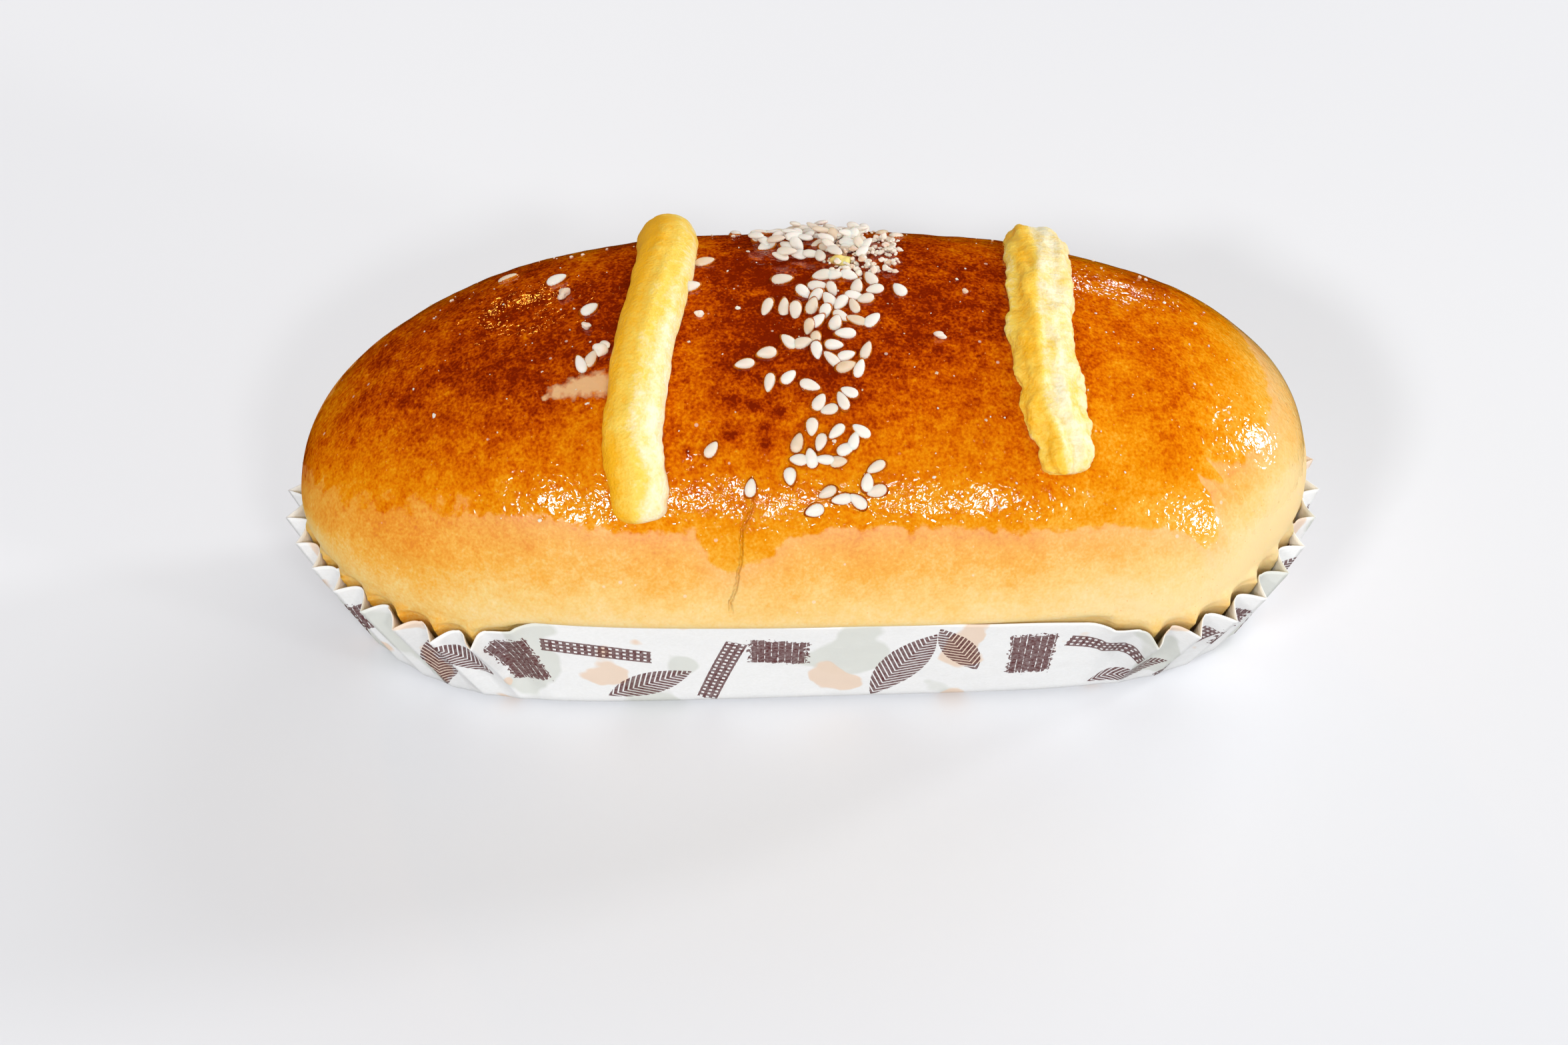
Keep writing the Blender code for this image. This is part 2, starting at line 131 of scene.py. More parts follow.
def feed(node: bpy.types.Node, inputs: dict[Any, Any]) -> None:
    """Set or link a node's inputs.

    Args:
        node: Node to feed.
        inputs: Input names or numbers, each with a value, a socket to link or a node to
            link by its first output.
    """
    for key, value in inputs.items():
        if isinstance(value, bpy.types.Node):
            value = value.outputs[0]
        if isinstance(value, bpy.types.NodeSocket):
            node.id_data.links.new(value, node.inputs[key])
        else:
            node.inputs[key].default_value = value


def add_node(tree: bpy.types.NodeTree, kind: str, inputs: dict[Any, Any] | None = None,
             stops: Sequence[tuple[float, str]] = (), **settings: Any) -> bpy.types.Node:
    """Add a shader node with its settings, values and links.

    Args:
        tree: Node tree of the material.
        kind: Node type without its ShaderNode prefix.
        inputs: What feed takes.
        stops: Places and sRGB hex colours of a colour ramp, in order.
        settings: Attributes of the node.

    Returns:
        The new node.
    """
    node = tree.nodes.new("ShaderNode" + kind)
    for name, value in settings.items():
        setattr(node, name, value)
    feed(node, inputs or {})
    for index, (place, colour) in enumerate(stops):
        elements = node.color_ramp.elements
        element = elements[index] if index < 2 else elements.new(place)
        element.position = place
        element.color = linear(colour)
    return node


def new_material(name: str) -> tuple[bpy.types.Material, bpy.types.Node, AddNode, Link]:
    """Make a node material.

    Args:
        name: Common name of the real material.

    Returns:
        The material, its Principled shader, add_node for its tree and Object coordinates.
    """
    material = bpy.data.materials.new(name)
    material.use_nodes = True
    add = partial(add_node, material.node_tree)
    place = add("TexCoord").outputs["Object"]
    return material, material.node_tree.nodes["Principled BSDF"], add, place


def select_only(item: Piece | None = None) -> None:
    """Deselect everything, then select one object and make it active.

    Args:
        item: Object to select, or nothing.
    """
    bpy.ops.object.select_all(action="DESELECT")
    if item is not None:
        item.select_set(True)
        bpy.context.view_layer.objects.active = item


def split_along(axis: Axis, parts: Sequence[int]) -> None:
    """Cut the active primitive's edges that run along one axis, in edit mode.

    Args:
        axis: Direction of the edges.
        parts: Numbers of pieces, each dividing what the one before it left.
    """
    for count in parts:
        mesh = bmesh.from_edit_mesh(bpy.context.object.data)
        bpy.ops.mesh.select_all(action="DESELECT")
        for edge in mesh.edges:
            run = edge.verts[1].co - edge.verts[0].co
            edge.select = abs(run[axis.value]) > 0.9 * run.length
        bmesh.update_edit_mesh(bpy.context.object.data)
        bpy.ops.mesh.subdivide(number_cuts=count - 1)


def name_piece(item: Piece, name: str) -> Piece:
    """Give an object and its mesh their name.

    Args:
        item: Object to name.
        name: Its name.

    Returns:
        The object.
    """
    item.name = name
    item.data.name = name
    return item


def read_vectors(item: Piece, kind: str) -> Array:
    """Read what an object's vertices store.

    Args:
        item: Object to read.
        kind: "co" for places or "normal" for normals.

    Returns:
        X, y and z for each vertex.
    """
    flat = np.empty(len(item.data.vertices) * 3, dtype=np.float32)
    item.data.vertices.foreach_get(kind, flat)
    return flat.reshape(-1, 3).astype(float)


def read_places(item: Piece) -> Array:
    """Places of an object's vertices, one row each."""
    return read_vectors(item, "co")


def write_places(item: Piece, places: Array) -> None:
    """Move an object's vertices to new places."""
    item.data.vertices.foreach_set("co", places.astype(np.float32).ravel())
    item.data.update()


def read_normals(item: Piece) -> Array:
    """Vertex normals of an object, one row each."""
    return read_vectors(item, "normal")


def write_attribute(item: Piece, name: str, values: Array) -> None:
    """Store one number on each vertex for the materials to read."""
    attribute = item.data.attributes.new(name, "FLOAT", "POINT")
    attribute.data.foreach_set("value", np.asarray(values, dtype=np.float32))


def outward(item: Piece) -> None:
    """Merge doubles and turn every face of a closed piece outwards.

    Args:
        item: Closed piece.
    """
    select_only(item)
    bpy.ops.object.mode_set(mode="EDIT")
    bpy.ops.mesh.select_all(action="SELECT")
    bpy.ops.mesh.remove_doubles(threshold=1e-6)
    bpy.ops.mesh.normals_make_consistent(inside=False)
    bpy.ops.object.mode_set(mode="OBJECT")


def push_by_clouds(item: Piece, grain_mm: float, height_mm: float, depth: int,
                   weights: Array | None = None, basis: str = "BLENDER_ORIGINAL") -> None:
    """Raise and sink a skin with a cloud pattern, as an applied Displace modifier.

    Args:
        item: Piece to shape.
        grain_mm: Width of one cloud.
        height_mm: Height from the lowest to the highest point.
        depth: How many finer layers the clouds have.
        weights: Share of the height at each vertex, or nothing for all of it.
        basis: Kind of noise that the clouds are made of.
    """
    clouds = bpy.data.textures.new("clouds", "CLOUDS")
    clouds.noise_basis = basis
    clouds.noise_scale = grain_mm * MM
    clouds.noise_depth = depth
    modifier = item.modifiers.new("clouds", "DISPLACE")
    modifier.texture = clouds
    modifier.texture_coords = "LOCAL"
    modifier.strength = height_mm * MM
    modifier.mid_level = 0.5
    if weights is not None:
        group = item.vertex_groups.new(name="clouds")
        for index in np.nonzero(weights > 0.0)[0]:
            group.add((int(index),), float(weights[index]), "REPLACE")
        modifier.vertex_group = group.name
    select_only(item)
    bpy.ops.object.modifier_apply(modifier=modifier.name)
    if weights is not None:
        item.vertex_groups.clear()


def place_piece(item: Piece, slot: Slot, *replaced: str) -> None:
    """Let a finished piece ride on the body, and hide the nodes it stands for.

    Args:
        item: Finished piece.
        slot: Its material slot; not used.
        replaced: Nodes of the solids that it replaces.
    """
    item.data.shade_smooth()
    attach(item, BODY)
    if replaced:
        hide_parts(*replaced)
    log.info("%s: %d faces", item.name, len(item.data.polygons))


# ---- the photograph


@dataclass(frozen=True)
class PhotoView:
    """The photograph's camera, worked out from the bun's outline and its real size."""

    frame_px: tuple[int, int] = (2352, 1568)
    lens_mm: float = 85.0
    sensor_mm: float = 36.0
    place_mm: tuple[float, float, float] = (-18.6, -443.9, 410.5)
    pitch_deg: float = 41.6
    turn_deg: float = -2.0
    roll_deg: float = 0.29

    def axes(self) -> tuple[Vector, Vector, Vector]:
        """Directions to the picture's right, to its top and back towards the eye.

        Returns:
            The three unit directions.
        """
        turn, pitch, roll = (math.radians(angle) for angle in
                             (self.turn_deg, self.pitch_deg, self.roll_deg))
        back = Vector((math.sin(turn) * math.cos(pitch), -math.cos(turn) * math.cos(pitch),
                       math.sin(pitch)))
        level = Vector((math.cos(turn), math.sin(turn), 0.0))
        upright = back.cross(level)
        right = level * math.cos(roll) - upright * math.sin(roll)
        top = level * math.sin(roll) + upright * math.cos(roll)
        return right, top, back

    def ray(self, pixel: Pixel) -> tuple[Vector, Vector]:
        """Line of sight through a pixel.

        Args:
            pixel: Column and row in the photograph.

        Returns:
            The eye's place in metres and the direction of sight.
        """
        right, top, back = self.axes()
        step = self.sensor_mm / self.frame_px[0]
        sideways = (pixel[0] - self.frame_px[0] / 2.0) * step
        upwards = (self.frame_px[1] / 2.0 - pixel[1]) * step
        sight = right * sideways + top * upwards - back * self.lens_mm
        return Vector(self.place_mm) * MM, sight.normalized()

    def add_camera(self) -> None:
        """Add the camera and make it the scene's."""
        data = bpy.data.cameras.new("photo_camera")
        data.lens = self.lens_mm
        data.sensor_fit = "HORIZONTAL"
        data.sensor_width = self.sensor_mm
        camera = bpy.data.objects.new("photo_camera", data)
        turn = Matrix(self.axes()).transposed().to_4x4()
        camera.matrix_world = Matrix.Translation(Vector(self.place_mm) * MM) @ turn
        bpy.context.scene.collection.objects.link(camera)
        bpy.context.scene.camera = camera


# ---- forms that the solids have


@dataclass(frozen=True)
class CaseForm:
    """Plan and height of the paper case, as in the solids, in millimetres."""

    base_half_length: float = 73.5
    base_half_width: float = 25.0
    base_shift: float = 1.5
    rim_half_length: float = 82.3
    rim_half_width: float = 34.0
    rim_spread_right: float = 0.04
    rim_corner_flare: float = 6.0
    rim_height_side: float = 25.5
    rim_height_end: float = 24.3
    plan_lengthwise: float = 5.7
    plan_crosswise: float = 1.08
    tip_rounding: float = 0.22
    foot_radius: float = 3.0
    pleats_per_end: int = 17
    pleat_depth: float = 2.8
    pleat_tip_drop: float = 0.9
    pleats_start: float = 46.0
    fade_from: float = 42.0
    full_from: float = 54.0

    def pleating(self, x: Array) -> Array:
        """How pleated the case is at x: 0 along the smooth sides, 1 at the ends."""
        return ease(np.abs(x), self.fade_from, self.full_from)

    def rim_height(self, x: Array) -> Array:
        """Height of the rim at x."""
        return self.rim_height_side + (self.rim_height_end - self.rim_height_side) * self.pleating(x)

    def plan(self, x: Array, up: Array) -> tuple[Array, Array, Array]:
        """Half length, half width and shift of the plan, up from 0 (base) to 1 (rim).

        Args:
            x: Place along the case.
            up: Share of the wall's height.

        Returns:
            Half length, half width and shift.
        """
        half_length = self.base_half_length + (self.rim_half_length - self.base_half_length) * up
        rim_width = (self.rim_half_width + self.rim_spread_right * x
                     + self.rim_corner_flare * self.pleating(x))
        half_width = self.base_half_width + (rim_width - self.base_half_width) * up
        return half_length, half_width, self.base_shift * (1.0 - up)

    def bow(self, share: Array) -> Array:
        """Share of the half width left at a place on the half length, from -1 to 1.

        Args:
            share: Place on the half length.

        Returns:
            Share of the half width.
        """
        straight = np.clip(1.0 - np.abs(share) ** self.plan_lengthwise, 0.0, 1.0)
        straight = straight ** (1.0 / self.plan_crosswise)
        soft = 2.0 * self.tip_rounding
        return np.sqrt((straight ** 2 + soft * straight) / (1.0 + soft))

    def reach(self, along: Array, across: Array) -> Array:
        """1 on the plan outline and less inside it.

        Args:
            along: Share of the half length.
            across: Share of the half width.

        Returns:
            How far out each place lies.
        """
        rounded = np.sqrt(across ** 2 * (1.0 + 2.0 * self.tip_rounding) + self.tip_rounding ** 2)
        return (np.abs(along) ** self.plan_lengthwise
                + (rounded - self.tip_rounding) ** self.plan_crosswise)

    def front_rim(self) -> tuple[Array, Array, Pair]:
        """Follow the front of the rim from its left tip to its right one.

        Returns:
            The half turn at each step, the length travelled to it and the two lengths
            between which the case is smooth.
        """
        turns = np.linspace(-math.pi / 2.0, math.pi / 2.0, 6001)
        share = np.sin(turns)
        x = self.rim_half_length * share
        y = self.plan(x, 1.0)[1] * self.bow(share)
        travelled = np.concatenate([[0.0], np.cumsum(np.hypot(np.diff(x), np.diff(y)))])
        left, right = (float(np.interp(stop, x, travelled))
                       for stop in (-self.pleats_start, self.pleats_start))
        return turns, travelled, (left, right)

    def fold(self, share: Array) -> Array:
        """1 at a pleat's inner fold and 0 at its crest, for places on the half length.

        Args:
            share: Place on the half length.

        Returns:
            How close each place is to a fold.
        """
        turns, travelled, (left, right) = self.front_rim()
        there = np.interp(np.arcsin(np.clip(share, -1.0, 1.0)), turns, travelled)
        past_right = (there - right) / (travelled[-1] - right)
        phase = np.maximum(np.maximum(1.0 - there / left, past_right), 0.0) * self.pleats_per_end / 2.0
        return np.abs(np.sin(math.pi * phase))


@dataclass(frozen=True)
class LoafForm:
    """Skin of the bare bun, as in the solids, in millimetres."""

    case: CaseForm = CaseForm()
    length_left: float = 79.0
    length_right: float = 79.2
    half_width: float = 38.5
    waist_height: float = 28.8
    waist_rise: float = 0.6
    crown_height: float = 33.3
    crown_fall_right: float = -0.06
    crown_fall_ends: float = -0.12
    belly_depth: float = 30.5
    end_fullness: Pair = (2.64, 2.70)
    plan_fullness: Pair = (2.30, 2.40)
    side_fullness: Pair = (1.85, 2.10)
    belly_end_fullness: float = 3.0
    crown_section: float = 2.15
    belly_section: float = 2.40
    end_blend: float = 0.25
    case_inset: float = 0.85
    case_floor: float = 0.7
    rim_clearance: float = 0.45
    overhang_slope: float = 2.0
    corner_softness: float = 40.0
    fill_height: float = 17.0
    fill_limit: float = 0.15
    press_height: float = 2.0
    press_share: float = 0.02
    foot_height: float = 9.0
    share_limits: Pair = (0.2, 3.0)
    halvings: int = 24

    def crown(self, along: Array) -> Array:
        """Height of the crown above the waist along the bun."""
        return self.crown_height * (1.0 + self.crown_fall_right * along
                                    + self.crown_fall_ends * along ** 2)

    def bearing(self, points: Array) -> Array:
        """Direction of points from the middle of the bun, with both half sizes as 1."""
        return np.arctan2(points[:, 1] / self.half_width, points[:, 0] / self.length_left)

    def girth(self, along: Array) -> Array:
        """Share of the full girth along the bun: 1 in the middle, 0 at the ends."""
        fullness = np.where(along < 0.0, *self.end_fullness)
        return np.sqrt(np.clip(1.0 - np.abs(along) ** fullness, 0.0, 1.0))

    def share_inside_case(self, points: Array, spread: Array | float) -> Array:
        """Share of each point's place where it meets the case's inner folds.

        Args:
            points: Places in millimetres, one row each.
            spread: How far the case is widened at each point, in millimetres.

        Returns:
            One share for each point: more than 1 where the case has room left.
        """
        case = self.case
        x, y, z = points.T
        room = spread - self.case_inset
        low, high = (np.full(len(points), limit) for limit in self.share_limits)
        for _ in range(self.halvings):
            middle = (low + high) / 2.0
            along = middle * x
            up = np.clip(z / case.rim_height(along), 0.0, 1.0)
            half_length, half_width, shift = case.plan(along, up)
            half_length = half_length - case.pleat_depth * up + room
            half_width = half_width - case.pleat_depth * up * case.pleating(along) + room
            outside = case.reach((along - shift) / half_length, middle * y / half_width) > 1.0
            high = np.where(outside, middle, high)
            low = np.where(outside, low, middle)
        return low

    def into_case(self, points: Array) -> Array:
        """Draw points in where they would cross the case, and swell them where it has room.

        Args:
            points: Places on the free skin.

        Returns:
            Places on the skin in its case.
        """
        x, y = points[:, 0], points[:, 1]
        z = np.maximum(points[:, 2], self.case_floor)
        points = np.stack([x, y, z], axis=-1)
        above = z - self.case.rim_height(x)
        spread = np.clip(above - self.rim_clearance, 0.0, None) * self.overhang_slope
        limit = self.share_inside_case(points, spread)
        room = np.clip(self.share_inside_case(points, 0.0) - 1.0, 0.0, self.fill_limit)
        swell = room * (1.0 - ease(above / self.fill_height))
        swell += self.press_share * (1.0 - ease(above / self.press_height))
        swollen = 1.0 + swell * ease(z / self.foot_height)
        sharp = self.corner_softness
        scale = -np.logaddexp(-sharp * swollen, -sharp * limit) / sharp
        return np.stack([x * scale, y * scale, z], axis=-1)

    def surface(self, along: Array, angle: Array) -> Array:
        """Points of the skin.

        Args:
            along: Place on the length, from -1 (left end) to 1 (right end).
            angle: Angle round the bun: 0 at the back, a right angle on top.

        Returns:
            One row of x, y and z for each point.
        """
        girth = self.girth(along)
        right_share = 0.5 + 0.5 * np.tanh(along / self.end_blend)
        plan = self.plan_fullness[0] + np.diff(self.plan_fullness)[0] * right_share
        side = self.side_fullness[0] + np.diff(self.side_fullness)[0] * right_share
        cosine, sine = np.cos(angle), np.sin(angle)
        upper = sine >= 0.0
        section = np.where(upper, self.crown_section, self.belly_section)
        rise = np.where(upper, self.crown(along) * girth ** (2.0 / side),
                        self.belly_depth * girth ** (2.0 / self.belly_end_fullness))
        radius = (np.abs(cosine) ** section + np.abs(sine) ** section) ** (-1.0 / section)
        length = np.where(along < 0.0, self.length_left, self.length_right)
        points = np.stack([length * along + 0.0 * angle,
                           radius * cosine * girth ** (2.0 / plan) * self.half_width,
                           self.waist_height + self.waist_rise * along + radius * sine * rise],
                          axis=-1)
        return self.into_case(points)

    def place(self, x: float, degrees: float) -> tuple[Vector, Vector]:
        """One point of the skin and its outward normal, in millimetres.

        Args:
            x: Place along the bun.
            degrees: Angle round it from the back.

        Returns:
            The point and the normal.
        """
        along = x / (self.length_left if x < 0.0 else self.length_right)
        angle = math.radians(degrees)
        step = 0.004
        rows = self.surface(np.array([along, along + step, along - step, along, along]),
                            np.array([angle, angle, angle, angle + step, angle - step]))
        lengthwise = Vector(rows[1] - rows[2])
        crosswise = Vector(rows[3] - rows[4])
        return Vector(rows[0]), crosswise.cross(lengthwise).normalized()


# ---- finishes


@dataclass(frozen=True)
class BakedCrust:
    """Egg-glazed crust of an enriched bun, browned in the oven.

    The egg glaze dries to a clear gloss with an orange-peel surface, so lights break up
    into sparks on it. Below the glaze the crust is satin, and its colour is mixed towards a
    whitish peach: partly the satin crust's paler tone, partly a painted sheen. The colour
    runs from cream at the paper to deep red-brown on the crown, in freckles half a
    millimetre wide.
    """

    browning_and_shade: tuple[tuple[float, str], ...] = (
        (0.00, "#f3d99c"), (0.15, "#f1c873"), (0.30, "#efad38"), (0.45, "#e9930c"),
        (0.58, "#de7803"), (0.70, "#cb5a01"), (0.82, "#b04001"), (0.92, "#942b01"),
        (1.00, "#7d1e01"))
    peeled: str = "#e6b683"
    # Whitish peach mixed in below the glaze: partly the satin crust's paler tone, partly a painted sheen.
    satin_tone_and_sheen: str = "#efb98c"
    seam_depth_mm: float = 0.35
    roughness_glazed: float = 0.06
    roughness_bare: float = 0.5
    bubble_mm: float = 1.0
    bubble_height_mm: float = 0.09
    grain_height_mm: float = 0.1
    spot_mm: tuple[float, ...] = (1.5, 0.8)
    # Changes of the browning: darker in the seam's groove as painted shade, paler below the glaze, and
    # darker on the freckles.
    mask_changes: tuple[float, float, float] = (0.05, -0.03, 0.11)
    # Clouds of browning: name, width in millimetres and strength.
    clouds: tuple[tuple[str, float, float], ...] = (
        ("blotch", 9.0, 0.42), ("patch", 2.6, 0.40), ("mottle", 1.1, 0.26), ("freckle", 0.45, 0.7))
    # Specks: width of a cell in millimetres, colour, share of cells without one, and cover.
    specks: tuple[tuple[float, str, float, float], ...] = (
        (2.4, "#f3d9c4", 0.8, 0.55), (0.9, "#f0a050", 0.4, 0.62))
    # Orange peel of the glaze: width and depth in millimetres.
    peel: tuple[Pair, ...] = ((1.05, 0.11), (0.5, 0.014))

    def material(self) -> bpy.types.Material:
        """Build the shader of the crust.

        Returns:
            The finished material.
        """
        material, shader, add, place = new_material("egg_glazed_crust")
        bake = add("Attribute", attribute_name="browning_and_shade").outputs["Fac"]
        noises, shade = {}, bake
        for name, width, strength in self.clouds:
            noises[name] = add("TexNoise", {"Vector": place, "Scale": 1.0 / (width * MM), "Detail": 2.0})
            centred = add("Math", {0: noises[name], 1: 0.5}, operation="SUBTRACT")
            scaled = add("Math", {0: bake, 1: strength, 2: 0.1}, operation="MULTIPLY_ADD")
            shade = add("Math", {0: centred, 1: scaled, 2: shade}, operation="MULTIPLY_ADD")
        crease = self._crease(add, noises["mottle"])
        tinted, glaze = (self._glaze(add, name, noises["patch"], noises["mottle"])
                         for name in ("glaze_height", "gloss_height"))
        bare = add("Math", {0: 1.0, 1: tinted}, operation="SUBTRACT")
        spots = self._spots(add, place, bake)
        # Painted shade darkens the seam's groove; the bare crust below the glaze is paler and the freckles
        # darker.
        for mask, change in zip((crease, bare, spots), self.mask_changes):
            shade = add("Math", {0: mask, 1: change, 2: shade}, operation="MULTIPLY_ADD")
        colour = add("ValToRGB", {"Fac": shade}, stops=self.browning_and_shade)
        # Below the glaze the colour is mixed towards the whitish peach: partly the satin crust's paler tone,
        # partly a painted sheen.
        satin_sheen_share = add("Attribute", attribute_name="satin_sheen_share").outputs["Fac"]
        satin_sheen_mask = add("Math", {0: bare, 1: satin_sheen_share}, operation="MULTIPLY")
        colour = add("Mix", {"Factor": satin_sheen_mask, 6: colour, 7: linear(self.satin_tone_and_sheen)},
                     data_type="RGBA").outputs[2]
        colour = self._pale_marks(add, place, colour, noises["mottle"])
        rough = add("MapRange", {"Value": glaze, "To Min": self.roughness_bare,
                                 "To Max": self.roughness_glazed})
        relief = self._relief(add, place, glaze, noises["freckle"])
        creased = add("Bump", {"Height": crease, "Distance": -self.seam_depth_mm * MM, "Normal": relief})
        feed(shader, {"Base Color": colour, "Roughness": rough, "Normal": creased, "IOR": 1.5,
                      "Specular IOR Level": 0.5, "Subsurface Weight": 0.3,
                      "Subsurface Radius": (1.0, 0.5, 0.2), "Subsurface Scale": 2.5 * MM})
        return material

    def _crease(self, add: AddNode, mottle: Link) -> Link:
        """Depth of the seam where two rolls of dough met: 1 in its narrow groove.

        Args:
            add: Adds a node.
            mottle: Noise that makes the seam ragged.

        Returns:
            Mask of the groove.
        """
        beside = add("Attribute", attribute_name="beside_seam").outputs["Fac"]
        along = add("Attribute", attribute_name="along_seam").outputs["Fac"]
        ragged = add("Math", {0: mottle, 1: 0.9, 2: beside}, operation="MULTIPLY_ADD")
        centred = add("Math", {0: ragged, 1: 0.45}, operation="SUBTRACT")
        away = add("Math", {0: centred}, operation="ABSOLUTE")
        groove = add("MapRange", {"Value": away, "From Max": 0.4, "To Min": 1.0, "To Max": 0.0},
                     interpolation_type="SMOOTHSTEP")
        return add("Math", {0: groove, 1: along}, operation="MULTIPLY")

    def _spots(self, add: AddNode, place: Link, bake: Link) -> Link:
        """Small dark freckles of caramel, more of them where the crust is baked darker.

        Args:
            add: Adds a node.
            place: Object coordinates.
            bake: How baked the crust is, with the painted shade in the pleats.

        Returns:
            Mask of the freckles.
        """
        spots = None
        for width in self.spot_mm:
            cells = add("TexVoronoi", {"Vector": place, "Scale": 1.0 / (width * MM)})
            pick = add("SeparateColor", {"Color": cells.outputs["Color"]}).outputs["Blue"]
            size = add("Math", {0: pick, 1: bake}, operation="MULTIPLY")
            inside = add("Math", {0: size, 1: cells}, operation="SUBTRACT")
            spot = add("MapRange", {"Value": inside, "From Min": -0.1, "From Max": 0.2},
                       interpolation_type="SMOOTHSTEP")
            spots = spot if spots is None else add("Math", {0: spots, 1: spot}, operation="MAXIMUM")
        return add("Math", {0: spots, 1: bake}, operation="MULTIPLY")

    def _glaze(self, add: AddNode, height: str, patch: Link, mottle: Link) -> Link:
        """Mask of the egg glaze, from a height above its edge, which wanders by a millimetre.

        Args:
            add: Adds a node.
            height: Attribute with the height above the edge.
            patch: Coarse noise of the edge.
            mottle: Fine noise of the edge.

        Returns:
            Mask of the glaze.
        """
        above = add("Attribute", attribute_name=height).outputs["Fac"]
        for cloud, reach in ((patch, 3.6), (mottle, 0.8)):
            above = add("Math", {0: cloud, 1: reach, 2: above}, operation="MULTIPLY_ADD")
        return add("MapRange", {"Value": above, "From Min": 1.8, "From Max": 2.6})

    def _pale_marks(self, add: AddNode, place: Link, colour: Link, mottle: Link) -> Link:
        """Lay the torn patch and small pale and orange specks over the crust's colour.

        Args:
            add: Adds a node.
            place: Object coordinates.
            colour: Colour of the crust.
            mottle: Noise that makes the patch ragged.

        Returns:
            Colour with the marks.
        """
        torn = add("Attribute", attribute_name="torn").outputs["Fac"]
        ragged = add("Math", {0: mottle, 1: 0.7, 2: torn}, operation="MULTIPLY_ADD")
        torn_mask = add("MapRange", {"Value": ragged, "From Min": 0.75, "From Max": 1.05})
        colour = add("Mix", {"Factor": torn_mask, 6: colour, 7: linear(self.peeled)},
                     data_type="RGBA").outputs[2]
        for width, tone, rare, cover in self.specks:
            cells = add("TexVoronoi", {"Vector": place, "Scale": 1.0 / (width * MM)})
            pick = add("SeparateColor", {"Color": cells.outputs["Color"]}).outputs["Red"]
            size = add("MapRange", {"Value": pick, "From Min": rare, "From Max": 1.0, "To Min": 0.0,
                                    "To Max": 0.16})
            inside = add("Math", {0: size, 1: cells}, operation="SUBTRACT")
            speck = add("MapRange", {"Value": inside, "From Max": 0.05, "To Max": cover})
            colour = add("Mix", {"Factor": speck, 6: colour, 7: linear(tone)}, data_type="RGBA").outputs[2]
        return colour

    def _relief(self, add: AddNode, place: Link, glaze: Link, freckle: Link) -> Link:
        """Bump: orange peel and small bubbles in the glaze, fine open grain below it.

        Args:
            add: Adds a node.
            place: Object coordinates.
            glaze: Mask of the glaze.
            freckle: Noise of the open grain.

        Returns:
            Normal of the skin.
        """
        cells = add("TexVoronoi", {"Vector": place, "Scale": 1.0 / (self.bubble_mm * MM)})
        pick = add("SeparateColor", {"Color": cells.outputs["Color"]}).outputs["Green"]
        size = add("MapRange", {"Value": pick, "From Min": 0.55, "To Max": 0.36})
        inside = add("Math", {0: size, 1: cells}, operation="SUBTRACT")
        bubble = add("MapRange", {"Value": inside, "From Max": 0.3}, interpolation_type="SMOOTHSTEP")
        normal = add("Bump", {"Height": bubble, "Strength": glaze, "Distance": self.bubble_height_mm * MM})
        for width, depth in self.peel:
            cloud = add("TexNoise", {"Vector": place, "Scale": 1.0 / (width * MM), "Detail": 1.0,
                                     "Distortion": 0.6})
            normal = add("Bump", {"Height": cloud, "Strength": glaze, "Distance": depth * MM,
                                  "Normal": normal})
        bare = add("MapRange", {"Value": glaze, "To Min": 0.6, "To Max": 0.04})
        return add("Bump", {"Height": freckle, "Strength": bare, "Distance": self.grain_height_mm * MM,
                            "Normal": normal})


@dataclass(frozen=True)
class PipedCustard:
    """Custard paste of egg, butter and flour, piped before baking.

    Baking leaves a soft satin skin, deeper yellow where it is thick and in the grooves
    that the star nozzle left, and almost cream on the ridges. The same deep yellow also
    paints the left side of each strip as shade, and the cream its right side as light.
    """

    body: str = "#fbd355"
    # The ridge colour also paints a strip's right side as light, the groove colour its left side as shade.
    ridge: str = "#fcefc8"
    groove: str = "#ffb800"
    roughness: float = 0.5
    grain_height_mm: float = 0.25
    # Clouds of tone, from broad to the fine grain: width in millimetres and strength.
    clouds: tuple[Pair, ...] = ((4.5, 0.5), (1.7, 0.45), (0.5, 0.35))

    def material(self) -> bpy.types.Material:
        """Build the shader of the custard.

        Returns:
            The finished material.
        """
        material, shader, add, place = new_material("piped_custard")
        tone = add("Attribute", attribute_name="tone").outputs["Fac"]
        grain = None
        for width, strength in self.clouds:
            grain = add("TexNoise", {"Vector": place, "Scale": 1.0 / (width * MM), "Detail": 2.0})
            centred = add("Math", {0: grain, 1: 0.5}, operation="SUBTRACT")
            tone = add("Math", {0: centred, 1: strength, 2: tone}, operation="MULTIPLY_ADD")
        colour = add("ValToRGB", {"Fac": tone}, stops=((0.12, self.groove), (0.5, self.body),
                                                       (0.88, self.ridge)))
        bump = add("Bump", {"Height": grain, "Strength": 0.9, "Distance": self.grain_height_mm * MM})
        feed(shader, {"Base Color": colour, "Normal": bump, "Roughness": self.roughness, "IOR": 1.46,
                      "Subsurface Weight": 0.2, "Subsurface Radius": (1.0, 0.7, 0.25),
                      "Subsurface Scale": 1.2 * MM})
        return material


